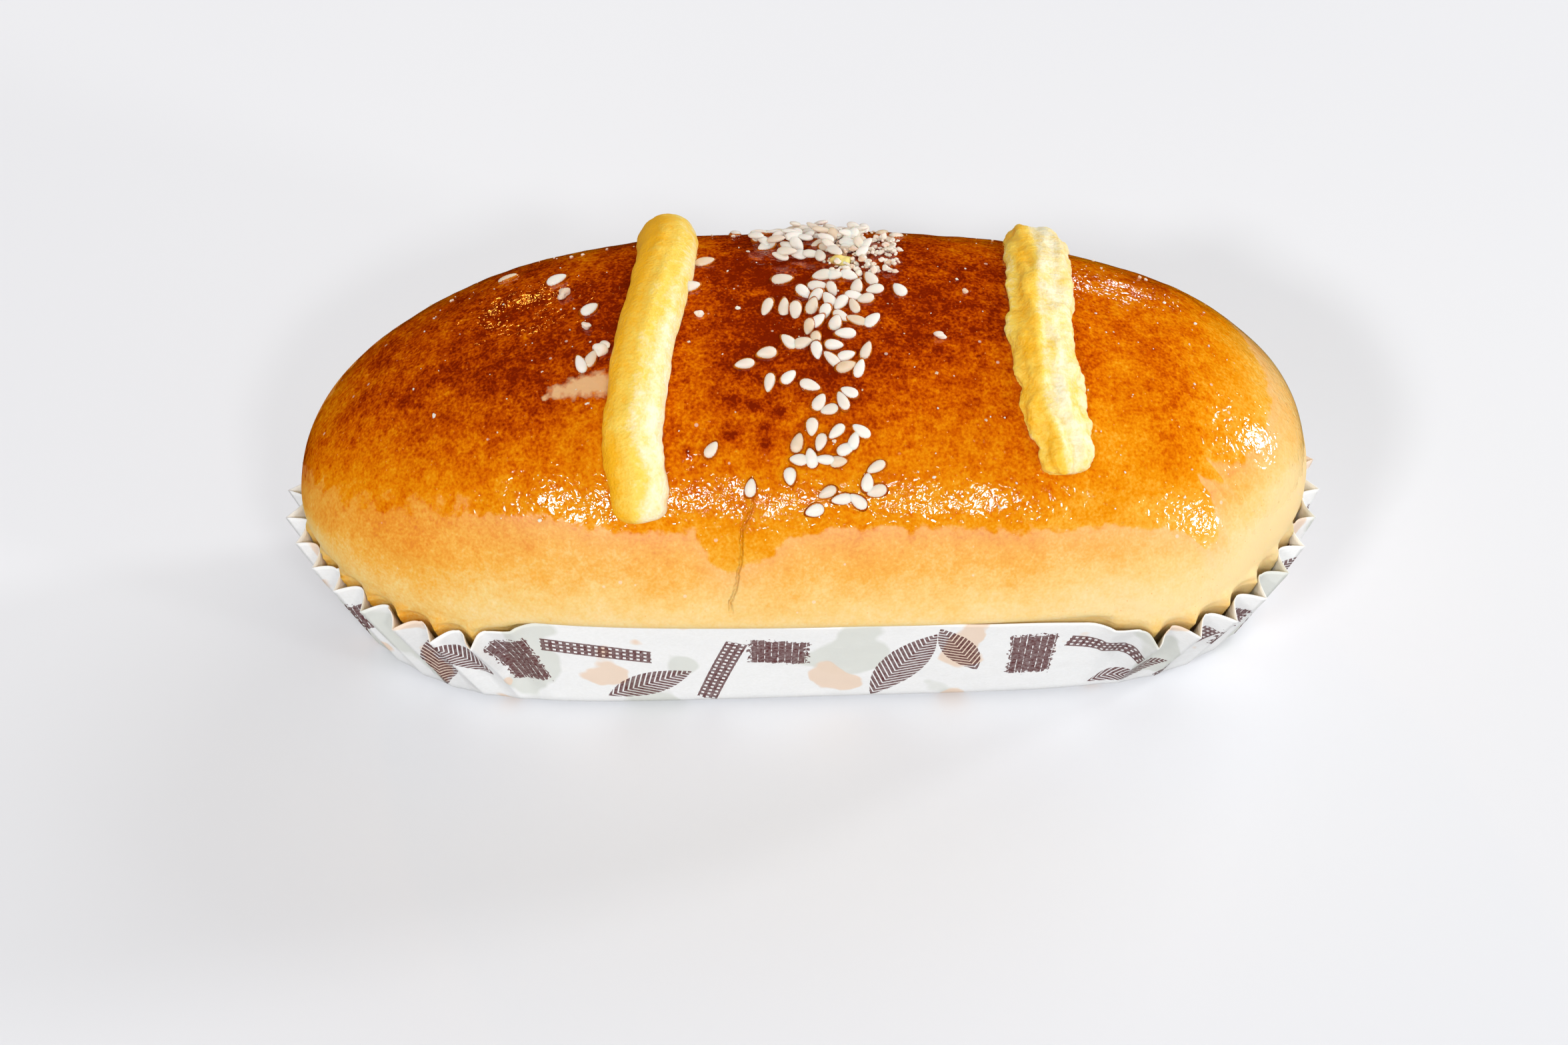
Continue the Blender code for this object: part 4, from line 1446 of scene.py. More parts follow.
@dataclass
class CustardStrip:
    """One piped strip: a grooved half round laid over the crown and sunk into the crust."""

    name: str
    node: str
    route: tuple[Pair, ...]
    width: float
    height: float
    groove_depth: float
    groove_count: int
    widths: tuple[Pair, ...]
    # Tone across the strip: partly its own baked edge, partly painted shade on the left side and painted
    # light on the right.
    tones: tuple[Pair, ...]
    tones_lengthwise: tuple[Pair, ...]
    waviness: float
    crumb_height: float
    seed: int
    around: int = 96
    lengthwise_parts: tuple[int, ...] = (55, 4)
    end_rounding: float = 0.07
    sunk: float = 0.7
    skin_clouds: Pair = (3.0, 0.3)
    crumb_clouds: tuple[Pair, ...] = ((2.6, -0.45), (1.1, -0.4))
    clod_height: float = 0.9
    clod_shape: Pair = (2.4, 14.0)
    # Waves of the strip's sides: rate, start and share of the waviness.
    waves: tuple[tuple[float, float, float], ...] = ((1.0, 0.0, 0.5), (2.3, 1.0, 0.3), (5.1, 0.0, 0.2))
    groove_bends: Pair = (0.22, 0.10)
    ridge_tone: float = 0.08

    def build(self, form: LoafForm) -> Piece:
        """Make the strip's mesh over the loaf's form, and return the object.

        Args:
            form: Form of the loaf below.

        Returns:
            The strip's object.
        """
        select_only()
        bpy.ops.mesh.primitive_cylinder_add(vertices=self.around, radius=1.0, depth=1.0,
                                            end_fill_type="TRIFAN")
        item = name_piece(bpy.context.object, self.name)
        bpy.ops.object.mode_set(mode="EDIT")
        split_along(Axis.Z, self.lengthwise_parts)
        bpy.ops.object.mode_set(mode="OBJECT")
        places = read_places(item)
        shares = places[:, 2] + 0.5
        turns = np.arctan2(places[:, 1], places[:, 0])
        rim = np.hypot(places[:, 0], places[:, 1]) > 0.5
        frames = {share: self._cut(form, share) for share in np.unique(shares.round(5))}
        tone = np.empty(len(places))
        for index, (share, turn) in enumerate(zip(shares.round(5), turns)):
            places[index], tone[index] = self._point(frames[share], share, turn, rim[index])
        write_places(item, places * MM)
        write_attribute(item, "tone", tone)
        outward(item)
        push_by_clouds(item, *self.skin_clouds, 2)
        for grain_mm, share in self.crumb_clouds:
            push_by_clouds(item, grain_mm, share * self.crumb_height, 0, basis="VORONOI_F1")
        return item

    def _route_at(self, share: float) -> Pair:
        """Angle and x on the smooth curve through the route.

        Args:
            share: Share of the strip's length.

        Returns:
            The angle and x.
        """
        last = len(self.route) - 1
        index = min(int(share * last), last - 1)
        part = share * last - index
        before, start, end, after = (np.array(self.route[min(max(index + step, 0), last)], dtype=float)
                                     for step in (-1, 0, 1, 2))
        bend = part * (3.0 * (start - end) + after - before)
        bend = part * (2.0 * before - 5.0 * start + 4.0 * end - after + bend)
        degrees, x = start + 0.5 * part * (end - before + bend)
        return float(degrees), float(x)

    def _cut(self, form: LoafForm, share: float) -> tuple[Vector, Vector, Vector, float]:
        """Middle, normal, sideways direction and size of the cut at a share of the length.

        Args:
            form: Form of the loaf below.
            share: Share of the strip's length.

        Returns:
            The three vectors and the size.
        """
        degrees, x = self._route_at(share)
        ahead = self._route_at(min(share + 0.01, 1.0))
        behind = self._route_at(max(share - 0.01, 0.0))
        place, normal = form.place(x, degrees)
        heading = form.place(ahead[1], ahead[0])[0] - form.place(behind[1], behind[0])[0]
        across = heading.cross(normal).normalized()
        to_end = min(share, 1.0 - share) / self.end_rounding
        size = math.sqrt(1.0 - (1.0 - min(to_end, 1.0)) ** 2)
        return place, normal, across, size

    def _point(self, cut: tuple[Vector, Vector, Vector, float], share: float, turn: float,
               on_rim: bool) -> tuple[Array, float]:
        """Place and tone of one vertex of the strip.

        Args:
            cut: Cut that the vertex lies on.
            share: Share of the strip's length.
            turn: Angle round the strip.
            on_rim: Whether it is on the skin, not an end's middle.

        Returns:
            The place and the tone.
        """
        place, normal, across, size = cut
        if not on_rim:
            return np.array(place), 0.0
        wide = float(np.interp(share, *zip(*self.widths)))
        cosine, sine = math.cos(turn), math.sin(turn)
        lifted = max(sine, 0.0)
        shift = self.seed + share * 23.0 + cosine * 1.3
        wave = sum(math.sin(rate * shift + start) * part for rate, start, part in self.waves)
        bend = self.groove_bends[0] * math.sin(self.seed + share * 9.0)
        bend += self.groove_bends[1] * math.sin(share * 21.0)
        ridge = math.cos(2.0 * self.groove_count * (turn + bend)) * lifted ** 0.5
        depth = self.groove_depth * (0.75 + 0.25 * math.sin(self.seed + share * 14.0 + cosine))
        swell = 1.0 + self.waviness * wave * abs(cosine)
        grooved = 1.0 + depth / self.height * (ridge - 1.0) * 0.5
        round_it, along_it = self.clod_shape
        clod = noise.noise(Vector((round_it * cosine + self.seed, round_it * sine, along_it * share)))
        clod *= self.clod_height * self.crumb_height * size
        side = 0.5 * self.width * wide * size * cosine * swell * (0.4 + 0.6 * grooved) + clod * cosine
        rise = self.height * size * lifted * grooved + clod * lifted
        drop = self.sunk * size * min(sine, 0.0)
        tone = self.ridge_tone * ridge * min(self.groove_depth * 3.0, 1.0)
        tone += float(np.interp(share, *zip(*self.tones_lengthwise)))
        # Across the strip: the baked edge mixed with painted shade on the left side and painted light on the
        # right.
        tone += float(np.interp(-cosine + 0.5 * bend, *zip(*self.tones)))
        return np.array(place + across * side + normal * (rise + drop)), tone


# ---- seeds and crumbs


def joined_copies(name: str, pattern_places: Array, pattern_faces: Sequence[Sequence[int]],
                  placings: Sequence[Matrix], tones: Sequence[float],
                  shape: Callable[[int, Array], Array] | None = None) -> Piece:
    """Copy one modelled thing to many places, as one joined mesh.

    Args:
        name: Name of the piece.
        pattern_places: Vertices of the thing, in millimetres.
        pattern_faces: Its faces, as vertex numbers.
        placings: One matrix for each copy, from millimetres to the frame.
        tones: One tone for each copy.
        shape: Changes the vertices of a copy, given its number.

    Returns:
        The object with every copy in its mesh.
    """
    places, faces = [], []
    for number, placing in enumerate(placings):
        points = shape(number, pattern_places) if shape else pattern_places
        turned = points @ np.array(placing.to_3x3()).T + np.array(placing.translation)
        faces += [[index + number * len(points) for index in face] for face in pattern_faces]
        places.append(turned)
    mesh = bpy.data.meshes.new(name)
    mesh.from_pydata(np.concatenate(places).tolist(), [], faces)
    item = bpy.data.objects.new(name, mesh)
    bpy.context.scene.collection.objects.link(item)
    write_attribute(item, "tone", np.repeat(tones, len(pattern_places)))
    return item


def read_pattern(item: Piece) -> tuple[Array, list[list[int]]]:
    """Take a modelled thing's vertices and faces, and remove its object.

    Args:
        item: Modelled thing.

    Returns:
        Its vertices, and its faces as vertex numbers.
    """
    places = read_places(item)
    faces = [list(face.vertices) for face in item.data.polygons]
    bpy.data.objects.remove(item, do_unlink=True)
    return places, faces


@dataclass
class SesameTopping:
    """Sesame seeds: those that the photograph shows, and a like band down the back."""

    ground: CrustGround
    length: float = 3.0
    width: float = 1.95
    thickness: float = 0.95
    rim_width: float = 0.24
    band_pixels: tuple[Pixel, ...] = (
        (1173, 422), (1150, 464), (1176, 464), (1193, 469), (1233, 416), (1251, 416), (1273, 416),
        (1306, 421), (1285, 433), (1312, 437), (1349, 438), (1226, 432), (1205, 441), (1248, 437),
        (1223, 448), (1244, 453), (1261, 457), (1281, 447), (1281, 462), (1298, 451), (1218, 462),
        (1237, 471), (1262, 477), (1253, 487), (1285, 483), (1308, 483), (1226, 484), (1213, 493),
        (1268, 503), (1183, 515), (1204, 517), (1223, 512), (1225, 528), (1251, 520), (1248, 541),
        (1269, 536), (1269, 552), (1289, 555), (1299, 528), (1150, 532), (1117, 548), (1154, 575),
        (1183, 567), (1215, 579), (1229, 604), (1274, 589), (1264, 602), (1244, 615), (1218, 641),
        (1255, 648), (1281, 662), (1292, 647), (1196, 665), (1231, 664), (1269, 674), (1198, 690),
        (1217, 688), (1237, 690), (1257, 693), (1185, 715), (1314, 701), (1301, 724), (1315, 737),
        (1241, 739), (1222, 766), (1263, 749), (1287, 752), (1126, 732))
    stray_pixels: tuple[Pixel, ...] = ((1067, 675), (762, 419), (836, 423), (885, 467), (872, 549),
                                       (887, 541), (1057, 396), (1035, 433))
    stray_turns: tuple[float, ...] = (54.0, 5.0, 20.0, 33.0, 110.0, 60.0, 12.0, 10.0)
    heap_x: Pair = (-7.0, 10.5)
    heap_degrees: Pair = (54.0, 76.0)
    heap_seeds: int = 44
    heap_height: float = 1.5
    ridge_lean: float = 0.4
    back_degrees: Pair = (30.0, 72.0)
    back_seeds: int = 40
    band_centre: float = 3.0
    band_spread: float = 5.4
    spacing: float = 2.2
    sunk_share: float = 0.22
    least_tilt: float = 0.10
    heap_tilt: float = 0.35
    nest_height: float = 0.4
    rim_steps: int = 20
    random_seed: int = 31

    def build(self) -> tuple[Piece, Piece]:
        """Make the seeds and the dark rings round them: glaze drawn up, and painted contact shadow.

        Returns:
            The seeds' and the rings' objects.
        """
        draw = random.Random(self.random_seed)
        placings: list[Matrix] = []
        for pixel in self.band_pixels:
            self._lay(placings, draw, self.ground.under_pixel(pixel), None, 0.0)
        for pixel, turn in zip(self.stray_pixels, self.stray_turns):
            self._lay(placings, draw, self.ground.under_pixel(pixel), turn, 0.0)
        free = len(placings)
        self._scatter(placings, draw, self.back_seeds, self.back_degrees, self._band_x, 0.0)
        on_crust = len(placings)
        self._scatter(placings, draw, self.heap_seeds, self.heap_degrees, self._heap_x,
                      self.heap_height)
        log.info("seeds: %d seen in the photograph, %d in all", free, len(placings))
        tones = [draw.random() ** 0.7 for _ in placings]
        places, faces = self._seed_pattern()
        stretch = [(draw.uniform(0.9, 1.1), draw.uniform(0.88, 1.12), draw.uniform(0.85, 1.2))
                   for _ in placings]

        def stretched(number: int, points: Array) -> Array:
            """Stretch one seed, and the glaze round it, a little."""
            return points * np.array(stretch[number])

        seeds = joined_copies("sesame_seeds", places, faces, placings, tones, stretched)
        rims = joined_copies("seed_glaze_and_shadow_rings", *self._rim_pattern(), placings[:on_crust],
                             tones[:on_crust], stretched)
        return seeds, rims

    def _band_x(self, draw: random.Random) -> float:
        """Place along the bun for a seed of the band."""
        return draw.gauss(self.band_centre, self.band_spread)

    def _heap_x(self, draw: random.Random) -> float:
        """Place along the bun for a seed of the heap on the ridge."""
        return draw.uniform(*self.heap_x)

    def _lay(self, placings: list[Matrix], draw: random.Random, footing: Footing | None,
             turn: float | None, lift: float) -> None:
        """Lay one seed flat on the crust, or tilted where it lies on others near the ridge.

        Args:
            placings: Seeds laid so far; the new one is added.
            draw: Random numbers.
            footing: Where it lies, or nothing.
            turn: Its turn in degrees, or nothing for any.
            lift: Height above the crust, in millimetres.
        """
        if footing is None:
            return
        turn = draw.uniform(0.0, 360.0) if turn is None else turn
        normal = footing.normal
        tilt = self.least_tilt + self.heap_tilt * min(lift, 1.0)
        lean = self.ridge_lean * float(ease(normal.z, 0.90, 0.97))
        lift += 0.6 * lean
        tilted = Vector((draw.uniform(-tilt, tilt), draw.uniform(-tilt, tilt), 0.0))
        normal = (normal + Vector((0.0, -lean, 0.0)) + tilted).normalized()
        right = Vector((1.0, 0.0, 0.0))
        right = (right - normal * right.dot(normal)).normalized()
        frame = Matrix((right, normal.cross(right), normal)).transposed().to_4x4()
        height = (self.sunk_share * self.thickness + lift) * MM
        placings.append(Matrix.Translation(footing.place + footing.normal * height) @ frame
                        @ Matrix.Rotation(math.radians(turn), 4, "Z") @ Matrix.Scale(MM, 4))

    def _scatter(self, placings: list[Matrix], draw: random.Random, count: int,
                 degrees: Pair, pick_x: Callable[[random.Random], float],
                 lift: float) -> None:
        """Lay seeds by a rule, at least a seed's width from those before them.

        Args:
            placings: Seeds laid so far; new ones are added.
            draw: Random numbers.
            count: How many seeds.
            degrees: Least and greatest angle round the bun.
            pick_x: Draws a place along the bun.
            lift: Greatest height above the crust.
        """
        start = len(placings)
        for _ in range(count * 30):
            if len(placings) - start == count:
                break
            footing = self.ground.at(pick_x(draw), draw.uniform(*degrees))
            height = draw.uniform(0.0, lift)
            place = footing.place + footing.normal * height * MM
            near = any((place - other.translation).length < self.spacing * MM for other in placings[start:])
            if not near or (lift > 0.0 and height >= self.nest_height):
                self._lay(placings, draw, footing, None, height)

    @staticmethod
    def _narrowing(share: Array | float) -> Array | float:
        """Width left at a share of the seed's length, from its round end to its point."""
        return 1.08 - 0.32 * share - 0.14 * share ** 2

    def _seed_pattern(self) -> tuple[Array, list[list[int]]]:
        """Model one seed: a flat drop, round at one end and drawn to a point at the other.

        Returns:
            The seed's vertices and faces.
        """
        select_only()
        bpy.ops.mesh.primitive_uv_sphere_add(segments=12, ring_count=8, radius=1.0)
        bpy.ops.object.mode_set(mode="EDIT")
        bpy.ops.transform.rotate(value=math.pi / 2.0, orient_axis="Y", center_override=(0.0, 0.0, 0.0))
        bpy.ops.transform.resize(value=(self.length / 2.0, self.width / 2.0, self.thickness / 2.0))
        bpy.ops.object.mode_set(mode="OBJECT")
        places, faces = read_pattern(bpy.context.object)
        narrow = self._narrowing(places[:, 0] / self.length + 0.5)
        places[:, 1] *= narrow
        places[:, 2] *= 0.5 + 0.5 * narrow
        return places, faces

    def _rim_pattern(self) -> tuple[Array, list[list[int]]]:
        """Model the dark ring round one seed, glaze and painted contact shadow: a low skirt from the seed to
        the crust.

        Returns:
            The ring's vertices and faces.
        """
        places, faces = [], []
        for index in range(self.rim_steps):
            turn = math.tau * index / self.rim_steps
            narrow = self._narrowing(0.5 + 0.5 * math.cos(turn))
            for out, height in ((0.9, 0.12), (1.0 + 2.0 * self.rim_width / self.width, -0.22), (0.8, -0.4)):
                spread = out if out < 1.0 else 1.0 + (out - 1.0) * (0.75 + 0.25 * math.sin(3.0 * turn))
                places.append((math.cos(turn) * self.length / 2.0 * spread,
                               math.sin(turn) * self.width / 2.0 * narrow * spread, height))
            after = (index + 1) % self.rim_steps
            for row in range(3):
                following = (row + 1) % 3
                faces.append([3 * index + row, 3 * index + following, 3 * after + following,
                              3 * after + row])
        return np.array(places), faces


@dataclass
class CoconutCrumbs:
    """Crumbs of dried coconut and custard: a heap on the ridge and specks over the crust."""

    ground: CrustGround
    crumb_pixels: tuple[Pixel, ...] = ((847, 444), (880, 491), (899, 528), (906, 523), (893, 531),
                                       (1411, 505), (1447, 438), (1050, 473), (870, 540), (1265, 396))
    crumb_sizes: tuple[float, ...] = (1.0, 0.7, 1.2, 0.8, 0.7, 0.7, 0.5, 0.8, 0.6, 1.5)
    custard_crumb: int = 9
    heap_x: Pair = (3.5, 15.5)
    heap_degrees: Pair = (62.0, 82.0)
    heap_crumbs: int = 200
    speck_x: Pair = (-60.0, 66.0)
    speck_degrees: Pair = (25.0, 150.0)
    specks: int = 220
    heap_sizes: Pair = (0.22, 0.5)
    heap_heights: Pair = (0.1, 1.1)
    speck_sizes: Pair = (0.10, 0.24)
    wave_count: int = 5
    waviness: float = 2.2
    random_seed: int = 12

    def build(self) -> Piece:
        """Make all crumbs as one piece.

        Returns:
            The crumbs' object.
        """
        draw = random.Random(self.random_seed)
        placings = []
        for pixel, size in zip(self.crumb_pixels, self.crumb_sizes):
            footing = self.ground.under_pixel(pixel)
            if footing is not None:
                placings.append(self._placing(draw, footing, size, 0.4 * size))
        for _ in range(self.heap_crumbs):
            footing = self.ground.at(draw.uniform(*self.heap_x), draw.uniform(*self.heap_degrees))
            size = self.heap_sizes[0] + self.heap_sizes[1] * draw.random() ** 2
            placings.append(self._placing(draw, footing, size, draw.uniform(*self.heap_heights)))
        for _ in range(self.specks):
            footing = self.ground.at(draw.uniform(*self.speck_x), draw.uniform(*self.speck_degrees))
            size = self.speck_sizes[0] + self.speck_sizes[1] * draw.random() ** 4
            placings.append(self._placing(draw, footing, size, 0.1 * size))
        select_only()
        bpy.ops.mesh.primitive_ico_sphere_add(subdivisions=3, radius=1.0)
        places, faces = read_pattern(bpy.context.object)
        numbers = np.random.default_rng(self.random_seed)
        waves = numbers.normal(0.0, 1.0, (len(placings), self.wave_count, 3)) * self.waviness
        starts = numbers.uniform(0.0, math.tau, (len(placings), self.wave_count))

        def lumpy(number: int, points: Array) -> Array:
            """Swell and pinch one crumb with a few waves, and notch it with the finest."""
            swell = np.sin(points @ waves[number].T + starts[number])
            return points * (1.0 + 0.13 * swell.sum(axis=1) - 0.12 * np.abs(swell[:, 0]))[:, None]

        tones = [0.25 + 0.6 * draw.random() for _ in placings]
        tones[self.custard_crumb] = -0.1
        return joined_copies("coconut_crumbs", places, faces, placings, tones, lumpy)

    def _placing(self, draw: random.Random, footing: Footing, size: float, lift: float) -> Matrix:
        """Matrix that lays one crumb on the crust, turned at random and flattened.

        Args:
            draw: Random numbers.
            footing: Where it lies.
            size: Half its width, in millimetres.
            lift: Height above the crust.

        Returns:
            The matrix.
        """
        turn = Matrix.Rotation(draw.uniform(0.0, math.tau), 4, "Z")
        lean = Matrix.Rotation(draw.uniform(-0.6, 0.6), 4, "X")
        shape = Matrix.Diagonal((size * draw.uniform(0.8, 1.4), size, size * 0.7, 1.0))
        base = footing.normal.to_track_quat("Z", "Y").to_matrix().to_4x4()
        return (Matrix.Translation(footing.place + footing.normal * lift * MM) @ base @ turn @ lean
                @ shape @ Matrix.Scale(MM, 4))


# ---- the paper case


@dataclass
class PaperCase:
    """The pleated case: a fine tube of paper, folded, closed below and given its thickness."""

    form: CaseForm
    thickness: float = 0.12
    columns_per_pleat: int = 20
    side_columns: int = 110
    levels_parts: tuple[int, ...] = (28,)
    fold_depth: float = 3.35
    depth_jitter: float = 0.22
    rim_jitter: float = 0.35
    rim_waves: float = 0.25
    rim_sag: float = 0.3
    map_slant: float = 1.06
    print_repeats: int = 6
    print_width: float = GreaseproofPaper.repeat_mm
    random_seed: int = 5

    def build(self) -> Piece:
        """Make the case's mesh and its map of the print, and return the object.

        Returns:
            The case's object.
        """
        shares, sides, phases = self._columns()
        count = len(shares)
        select_only()
        bpy.ops.mesh.primitive_cylinder_add(vertices=count, radius=1.0, depth=1.0, end_fill_type="NOTHING")
        item = name_piece(bpy.context.object, "pleated_case")
        bpy.ops.object.mode_set(mode="EDIT")
        split_along(Axis.Z, self.levels_parts)
        bpy.ops.object.mode_set(mode="OBJECT")
        places = read_places(item)
        turns = np.arctan2(places[:, 0], places[:, 1])
        column = np.rint(turns / math.tau * count).astype(int) % count
        up = places[:, 2] + 0.5
        shaped = self._wall(shares[column], sides[column], phases[column], up)
        write_places(item, shaped * MM)
        self._map_print(item, column, up, count)
        self._close_base(item)
        self._thicken(item)
        return item

    def _columns(self) -> tuple[Array, Array, Array]:
        """Place on the half length, side and pleat phase of every column round the case.

        Returns:
            The places, the sides (-1 in front) and the phases.
        """
        form = self.form
        turns, travelled, (left, right) = form.front_rim()
        total = travelled[-1]
        half_pleats = form.pleats_per_end / 2.0
        steps = form.pleats_per_end * self.columns_per_pleat // 2
        phase = np.arange(steps + 1) / self.columns_per_pleat
        left_stops = (left * (1.0 - phase / half_pleats))[::-1]
        right_stops = right + (total - right) * phase / half_pleats
        side_stops = np.linspace(left, right, self.side_columns + 1)[1:-1]
        front = np.concatenate([left_stops, side_stops, right_stops])
        phases = np.concatenate([-phase[::-1] - 1.0, np.zeros(len(side_stops)), phase + 1.0])
        places = np.sin(np.interp(front, travelled, turns))
        back = slice(1, len(front) - 1)
        shares = np.concatenate([places, places[back][::-1]])
        sides = np.concatenate([-np.ones(len(places)), np.ones(len(places) - 2)])
        return shares, sides, np.concatenate([phases, phases[back][::-1]])

    def _wall(self, shares: Array, sides: Array, phases: Array,
              up: Array) -> Array:
        """Points of the folded wall for columns and shares of the height.

        Args:
            shares: Place on the half length of each vertex.
            sides: -1 in front and 1 behind.
            phases: Pleats counted from the side.
            up: Share of the height.

        Returns:
            Places in millimetres.
        """
        form = self.form
        half_length, _, shift = form.plan(0.0, up)

        def plan_point(place: Array) -> Array:
            """Points of the unfolded wall at places on the half length."""
            place = np.clip(place, -1.0, 1.0)
            x = half_length * place + shift
            return np.stack([x, sides * form.plan(x, up)[1] * form.bow(place)], axis=-1)

        step = 0.002
        along = plan_point(shares + step) - plan_point(shares - step)
        inward = np.stack([along[:, 1] * sides, -along[:, 0] * sides], axis=-1)
        inward /= np.linalg.norm(inward, axis=1)[:, None]
        point = plan_point(shares)
        rim_x = form.rim_half_length * shares
        pleated = form.pleating(rim_x) * (np.abs(phases) > 0.5)
        fold = np.abs(np.sin(math.pi * phases))
        number = (np.floor(np.abs(phases) + 0.5) + 40.0 * (sides > 0.0) + 80.0 * (phases > 0.0)).astype(int)
        depths, drops = np.random.default_rng(self.random_seed).uniform(-1.0, 1.0, (2, 200))
        deeper = 1.0 + self.depth_jitter * depths[number] * fold
        inset = self.fold_depth * up * pleated * fold * np.minimum(deeper, 1.0)
        foot = np.clip(up * form.rim_height_side / form.foot_radius, 0.0, 1.0)
        inset += form.foot_radius * (1.0 - np.sqrt(1.0 - (1.0 - foot) ** 2))
        point = point + inward * inset[:, None]
        height = form.rim_height(rim_x) * up
        height -= form.pleat_tip_drop * up * pleated * (1.0 - fold)
        height -= self.rim_jitter * up * (0.5 + 0.5 * drops[number]) * pleated
        wave = np.sin(rim_x * 0.11 + sides) + 0.6 * np.sin(rim_x * 0.27 + 2.0 * sides)
        height += (self.rim_waves * wave - self.rim_sag) * up ** 4 * (1.0 - pleated)
        return np.column_stack([point, height])

    def _map_print(self, item: Piece, column: Array, up: Array, count: int) -> None:
        """Lay the flat paper's map on the wall, in millimetres, repeated round the case.

        Args:
            item: The wall.
            column: Column of each vertex.
            up: Share of the height of each vertex.
            count: Number of columns.
        """
        rim = up > 0.999
        top = read_places(item)[rim][np.argsort(column[rim])][:, :2] / MM
        steps = np.linalg.norm(np.roll(top, -1, axis=0) - top, axis=1)
        travelled = np.concatenate([[0.0], np.cumsum(steps)])
        log.info("folded rim: %.0f mm", travelled[-1])
        travelled *= self.print_repeats * self.print_width / travelled[-1]
        slant = self.form.rim_height_side * self.map_slant
        layer = item.data.uv_layers.new(name="print")
        for face in item.data.polygons:
            columns = column[list(face.vertices)]
            closing = columns.max() - columns.min() > 1
            for loop, vertex, place in zip(face.loop_indices, face.vertices, columns):
                around = travelled[count if closing and place == 0 else place]
                layer.data[loop].uv = (around, up[vertex] * slant)

    def _close_base(self, item: Piece) -> None:
        """Fill the foot's open loop with the flat base.

        Args:
            item: The wall, open below.
        """
        select_only(item)
        bpy.ops.object.mode_set(mode="EDIT")
        mesh = bmesh.from_edit_mesh(item.data)
        bpy.ops.mesh.select_all(action="DESELECT")
        for edge in mesh.edges:
            low = max(edge.verts[0].co.z, edge.verts[1].co.z) < 0.01 * MM
            edge.select = low and edge.is_boundary
        bmesh.update_edit_mesh(item.data)
        bpy.ops.mesh.edge_face_add()
        bpy.ops.mesh.select_all(action="SELECT")
        bpy.ops.mesh.normals_make_consistent(inside=False)
        bpy.ops.object.mode_set(mode="OBJECT")

    def _thicken(self, item: Piece) -> None:
        """Give the paper its thickness, inwards.

        Args:
            item: The thin case.
        """
        wall = item.modifiers.new("paper", "SOLIDIFY")
        wall.thickness = self.thickness * MM
        wall.offset = -1.0
        select_only(item)
        bpy.ops.object.modifier_apply(modifier=wall.name)


# ---- studio


@dataclass(frozen=True)
class SoftLight:
    """One area light that points at the bun from afar.

    Its bearing is 0 in front and a right angle on the right, its size is the angle that it
    fills seen from the bun, and its brightness is what a mirror there would show.
    """

    name: str
    bearing: float
    elevation: float
    size_deg: Pair
    brightness: float
    colour: str = "#ffffff"
    mirrored: bool = True
    distance: float = 8.0

    def add(self, target: Vector) -> None:
        """Add the light to the scene.

        Args:
            target: Point that it is aimed at, in metres.
        """
        data = bpy.data.lights.new(self.name, "AREA")
        data.shape = "RECTANGLE"
        data.size, data.size_y = (2.0 * self.distance * math.tan(math.radians(angle / 2.0))
                                  for angle in self.size_deg)
        data.energy = self.brightness * math.pi * data.size * data.size_y
        data.color = linear(self.colour)[:3]
        lamp = bpy.data.objects.new(self.name, data)
        around, up = math.radians(self.bearing), math.radians(self.elevation)
        way = Vector((math.sin(around) * math.cos(up), -math.cos(around) * math.cos(up), math.sin(up)))
        lamp.matrix_world = (Matrix.Translation(target + way * self.distance)
                             @ way.to_track_quat("Z", "Y").to_matrix().to_4x4())
        lamp.visible_glossy = self.mirrored
        bpy.context.scene.collection.objects.link(lamp)


@dataclass(frozen=True)
class Studio:
    """Plain pale floor, white surroundings and the windows and lamps that the gloss mirrors."""

    floor_size: float = 6.0
    floor_colour: str = "#edeef1"
    world_strength: float = 0.48
    lights: tuple[SoftLight, ...] = (
        SoftLight("left_window", -31.0, 34.0, (9.0, 5.0), 64.0),
        SoftLight("middle_window", -3.0, 38.0, (5.0, 4.5), 50.0),
        SoftLight("front_window", 17.0, 34.0, (8.0, 4.5), 48.0),
        SoftLight("right_window", 57.0, 11.0, (6.0, 5.0), 60.0),
        SoftLight("side_window", 109.0, 15.0, (8.0, 8.0), 50.0),
        SoftLight("back_window", 159.0, 7.0, (2.4, 3.4), 20.0),
        SoftLight("back_lamp", -160.0, 22.0, (3.0, 2.5), 40.0, colour="#ffb347"),
        SoftLight("right_fill", 138.0, 26.0, (40.0, 30.0), 2.4, mirrored=False),
        SoftLight("ceiling", 0.0, 88.0, (70.0, 70.0), 0.12, mirrored=False))

    def build(self) -> None:
        """Add the floor, the world and the lights."""
        self._add_floor()
        world = bpy.data.worlds.new("white_studio")
        world.use_nodes = True
        bpy.context.scene.world = world
        background = world.node_tree.nodes["Background"]
        background.inputs["Color"].default_value = (1.0, 1.0, 1.0, 1.0)
        background.inputs["Strength"].default_value = self.world_strength
        world.cycles_visibility.glossy = False
        for light in self.lights:
            light.add(Vector((0.0, 0.0, 0.03)))
        bpy.context.scene.view_settings.view_transform = "Standard"

    def _add_floor(self) -> None:
        """Add the floor: a wide matt sheet."""
        select_only()
        bpy.ops.mesh.primitive_plane_add(size=self.floor_size)
        floor = name_piece(bpy.context.object, "studio_floor")
        material, shader, add, place = new_material("matt_card")
        cloud = add("TexNoise", {"Vector": place, "Scale": 3.0})
        colour = add("ValToRGB", {"Fac": cloud}, stops=((0.3, self.floor_colour), (0.7, "#e9eaee")))
        feed(shader, {"Base Color": colour, "Roughness": 0.6})
        floor.data.materials.append(material)
        floor.visible_glossy = False


# ---- assembly


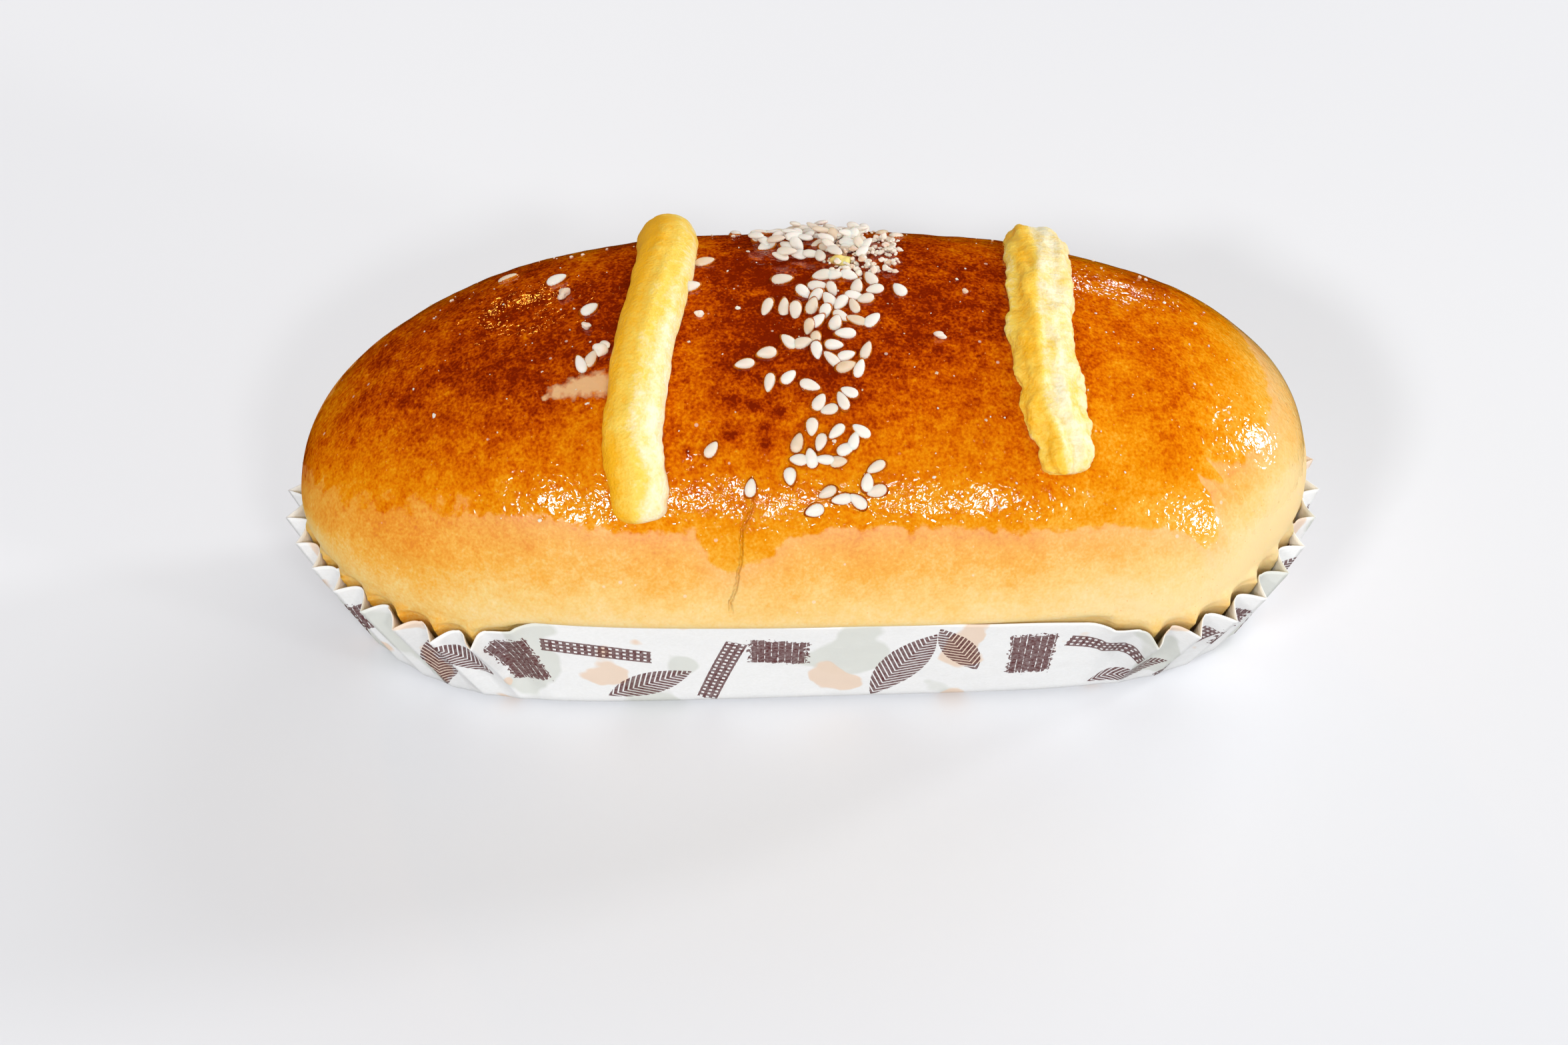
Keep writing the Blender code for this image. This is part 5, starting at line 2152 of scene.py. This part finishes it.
def dress(item: Piece, material: bpy.types.Material, slot: Slot, *replaced: str) -> None:
    """Give a finished piece its material and its place on the body.

    Args:
        item: Finished piece.
        material: Its finish.
        slot: Its material slot.
        replaced: Nodes of the solids that it replaces.
    """
    item.data.materials.clear()
    item.data.materials.append(material)
    place_piece(item, slot, *replaced)


def main() -> None:
    """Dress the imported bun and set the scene."""
    logging.basicConfig(level=logging.INFO, format="%(name)s: %(message)s")
    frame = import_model()
    log.info("nodes: %s", sorted(frame["nodes"]))

    view = PhotoView()
    view.add_camera()
    Studio().build()

    loaf = LoafForm()
    crust = Crust(form=loaf, view=view)
    bun = crust.build()
    ground = CrustGround(crust)
    seeds, rims = SesameTopping(ground).build()
    crumbs = CoconutCrumbs(ground).build()
    dress(bun, BakedCrust().material(), Slot.CRUST, "bun")
    dress(seeds, SesameHull().material(), Slot.CRUST, "bun")
    dress(rims, PooledGlazeAndShadow().material(), Slot.CRUST, "bun")
    dress(crumbs, DriedCoconut().material(), Slot.CRUST, "bun")

    custard = PipedCustard().material()
    # The tones across each strip paint its left side deep yellow as shade and its right side cream as light,
    # over its own baked edges.
    strips = (
        CustardStrip(name="custard_left", node="custard_strip_left", width=9.2, height=4.1,
                     route=((30, -20.3), (50, -20.4), (70, -20.7), (90, -22.4), (107, -24.7),
                            (122, -25.9), (131, -26.4), (140, -25.7), (148.5, -25.3)),
                     groove_depth=0.12, groove_count=5, waviness=0.05, crumb_height=0.15, seed=3,
                     tones=((-1.0, 0.1), (-0.7, 0.16), (-0.2, 0.42), (0.2, 0.64), (0.8, 0.82)),
                     tones_lengthwise=((0.35, -0.22), (0.48, -0.1), (0.65, 0.0), (1.0, 0.04)),
                     widths=((0.0, 0.96), (0.25, 1.04), (0.6, 1.0), (0.85, 0.98), (1.0, 0.9))),
        CustardStrip(name="custard_right", node="custard_strip_right", width=10.2, height=3.5,
                     route=((36, 38.2), (62, 37.4), (82, 36.6), (98, 36.0), (113, 36.2),
                            (123, 36.8), (131, 37.8), (139, 38.2)),
                     groove_depth=0.5, groove_count=3, waviness=0.08, crumb_height=0.8, seed=8,
                     tones=((-1.0, 0.46), (-0.75, 0.26), (-0.45, 0.18), (-0.2, 0.7), (0.25, 0.84),
                            (0.5, 0.6), (0.7, 0.66), (1.0, 0.7)),
                     tones_lengthwise=((0.35, 0.05), (0.5, 0.0), (1.0, 0.0)),
                     widths=((0.0, 1.02), (0.4, 1.05), (0.7, 1.0), (0.85, 0.88), (1.0, 0.8))),
    )
    for strip in strips:
        dress(strip.build(loaf), custard, Slot.CUSTARD, strip.node)

    case = PaperCase(form=loaf.case).build()
    dress(case, GreaseproofPaper().material(), Slot.PAPER, "paper_case")


if __name__ == "__main__":
    main()
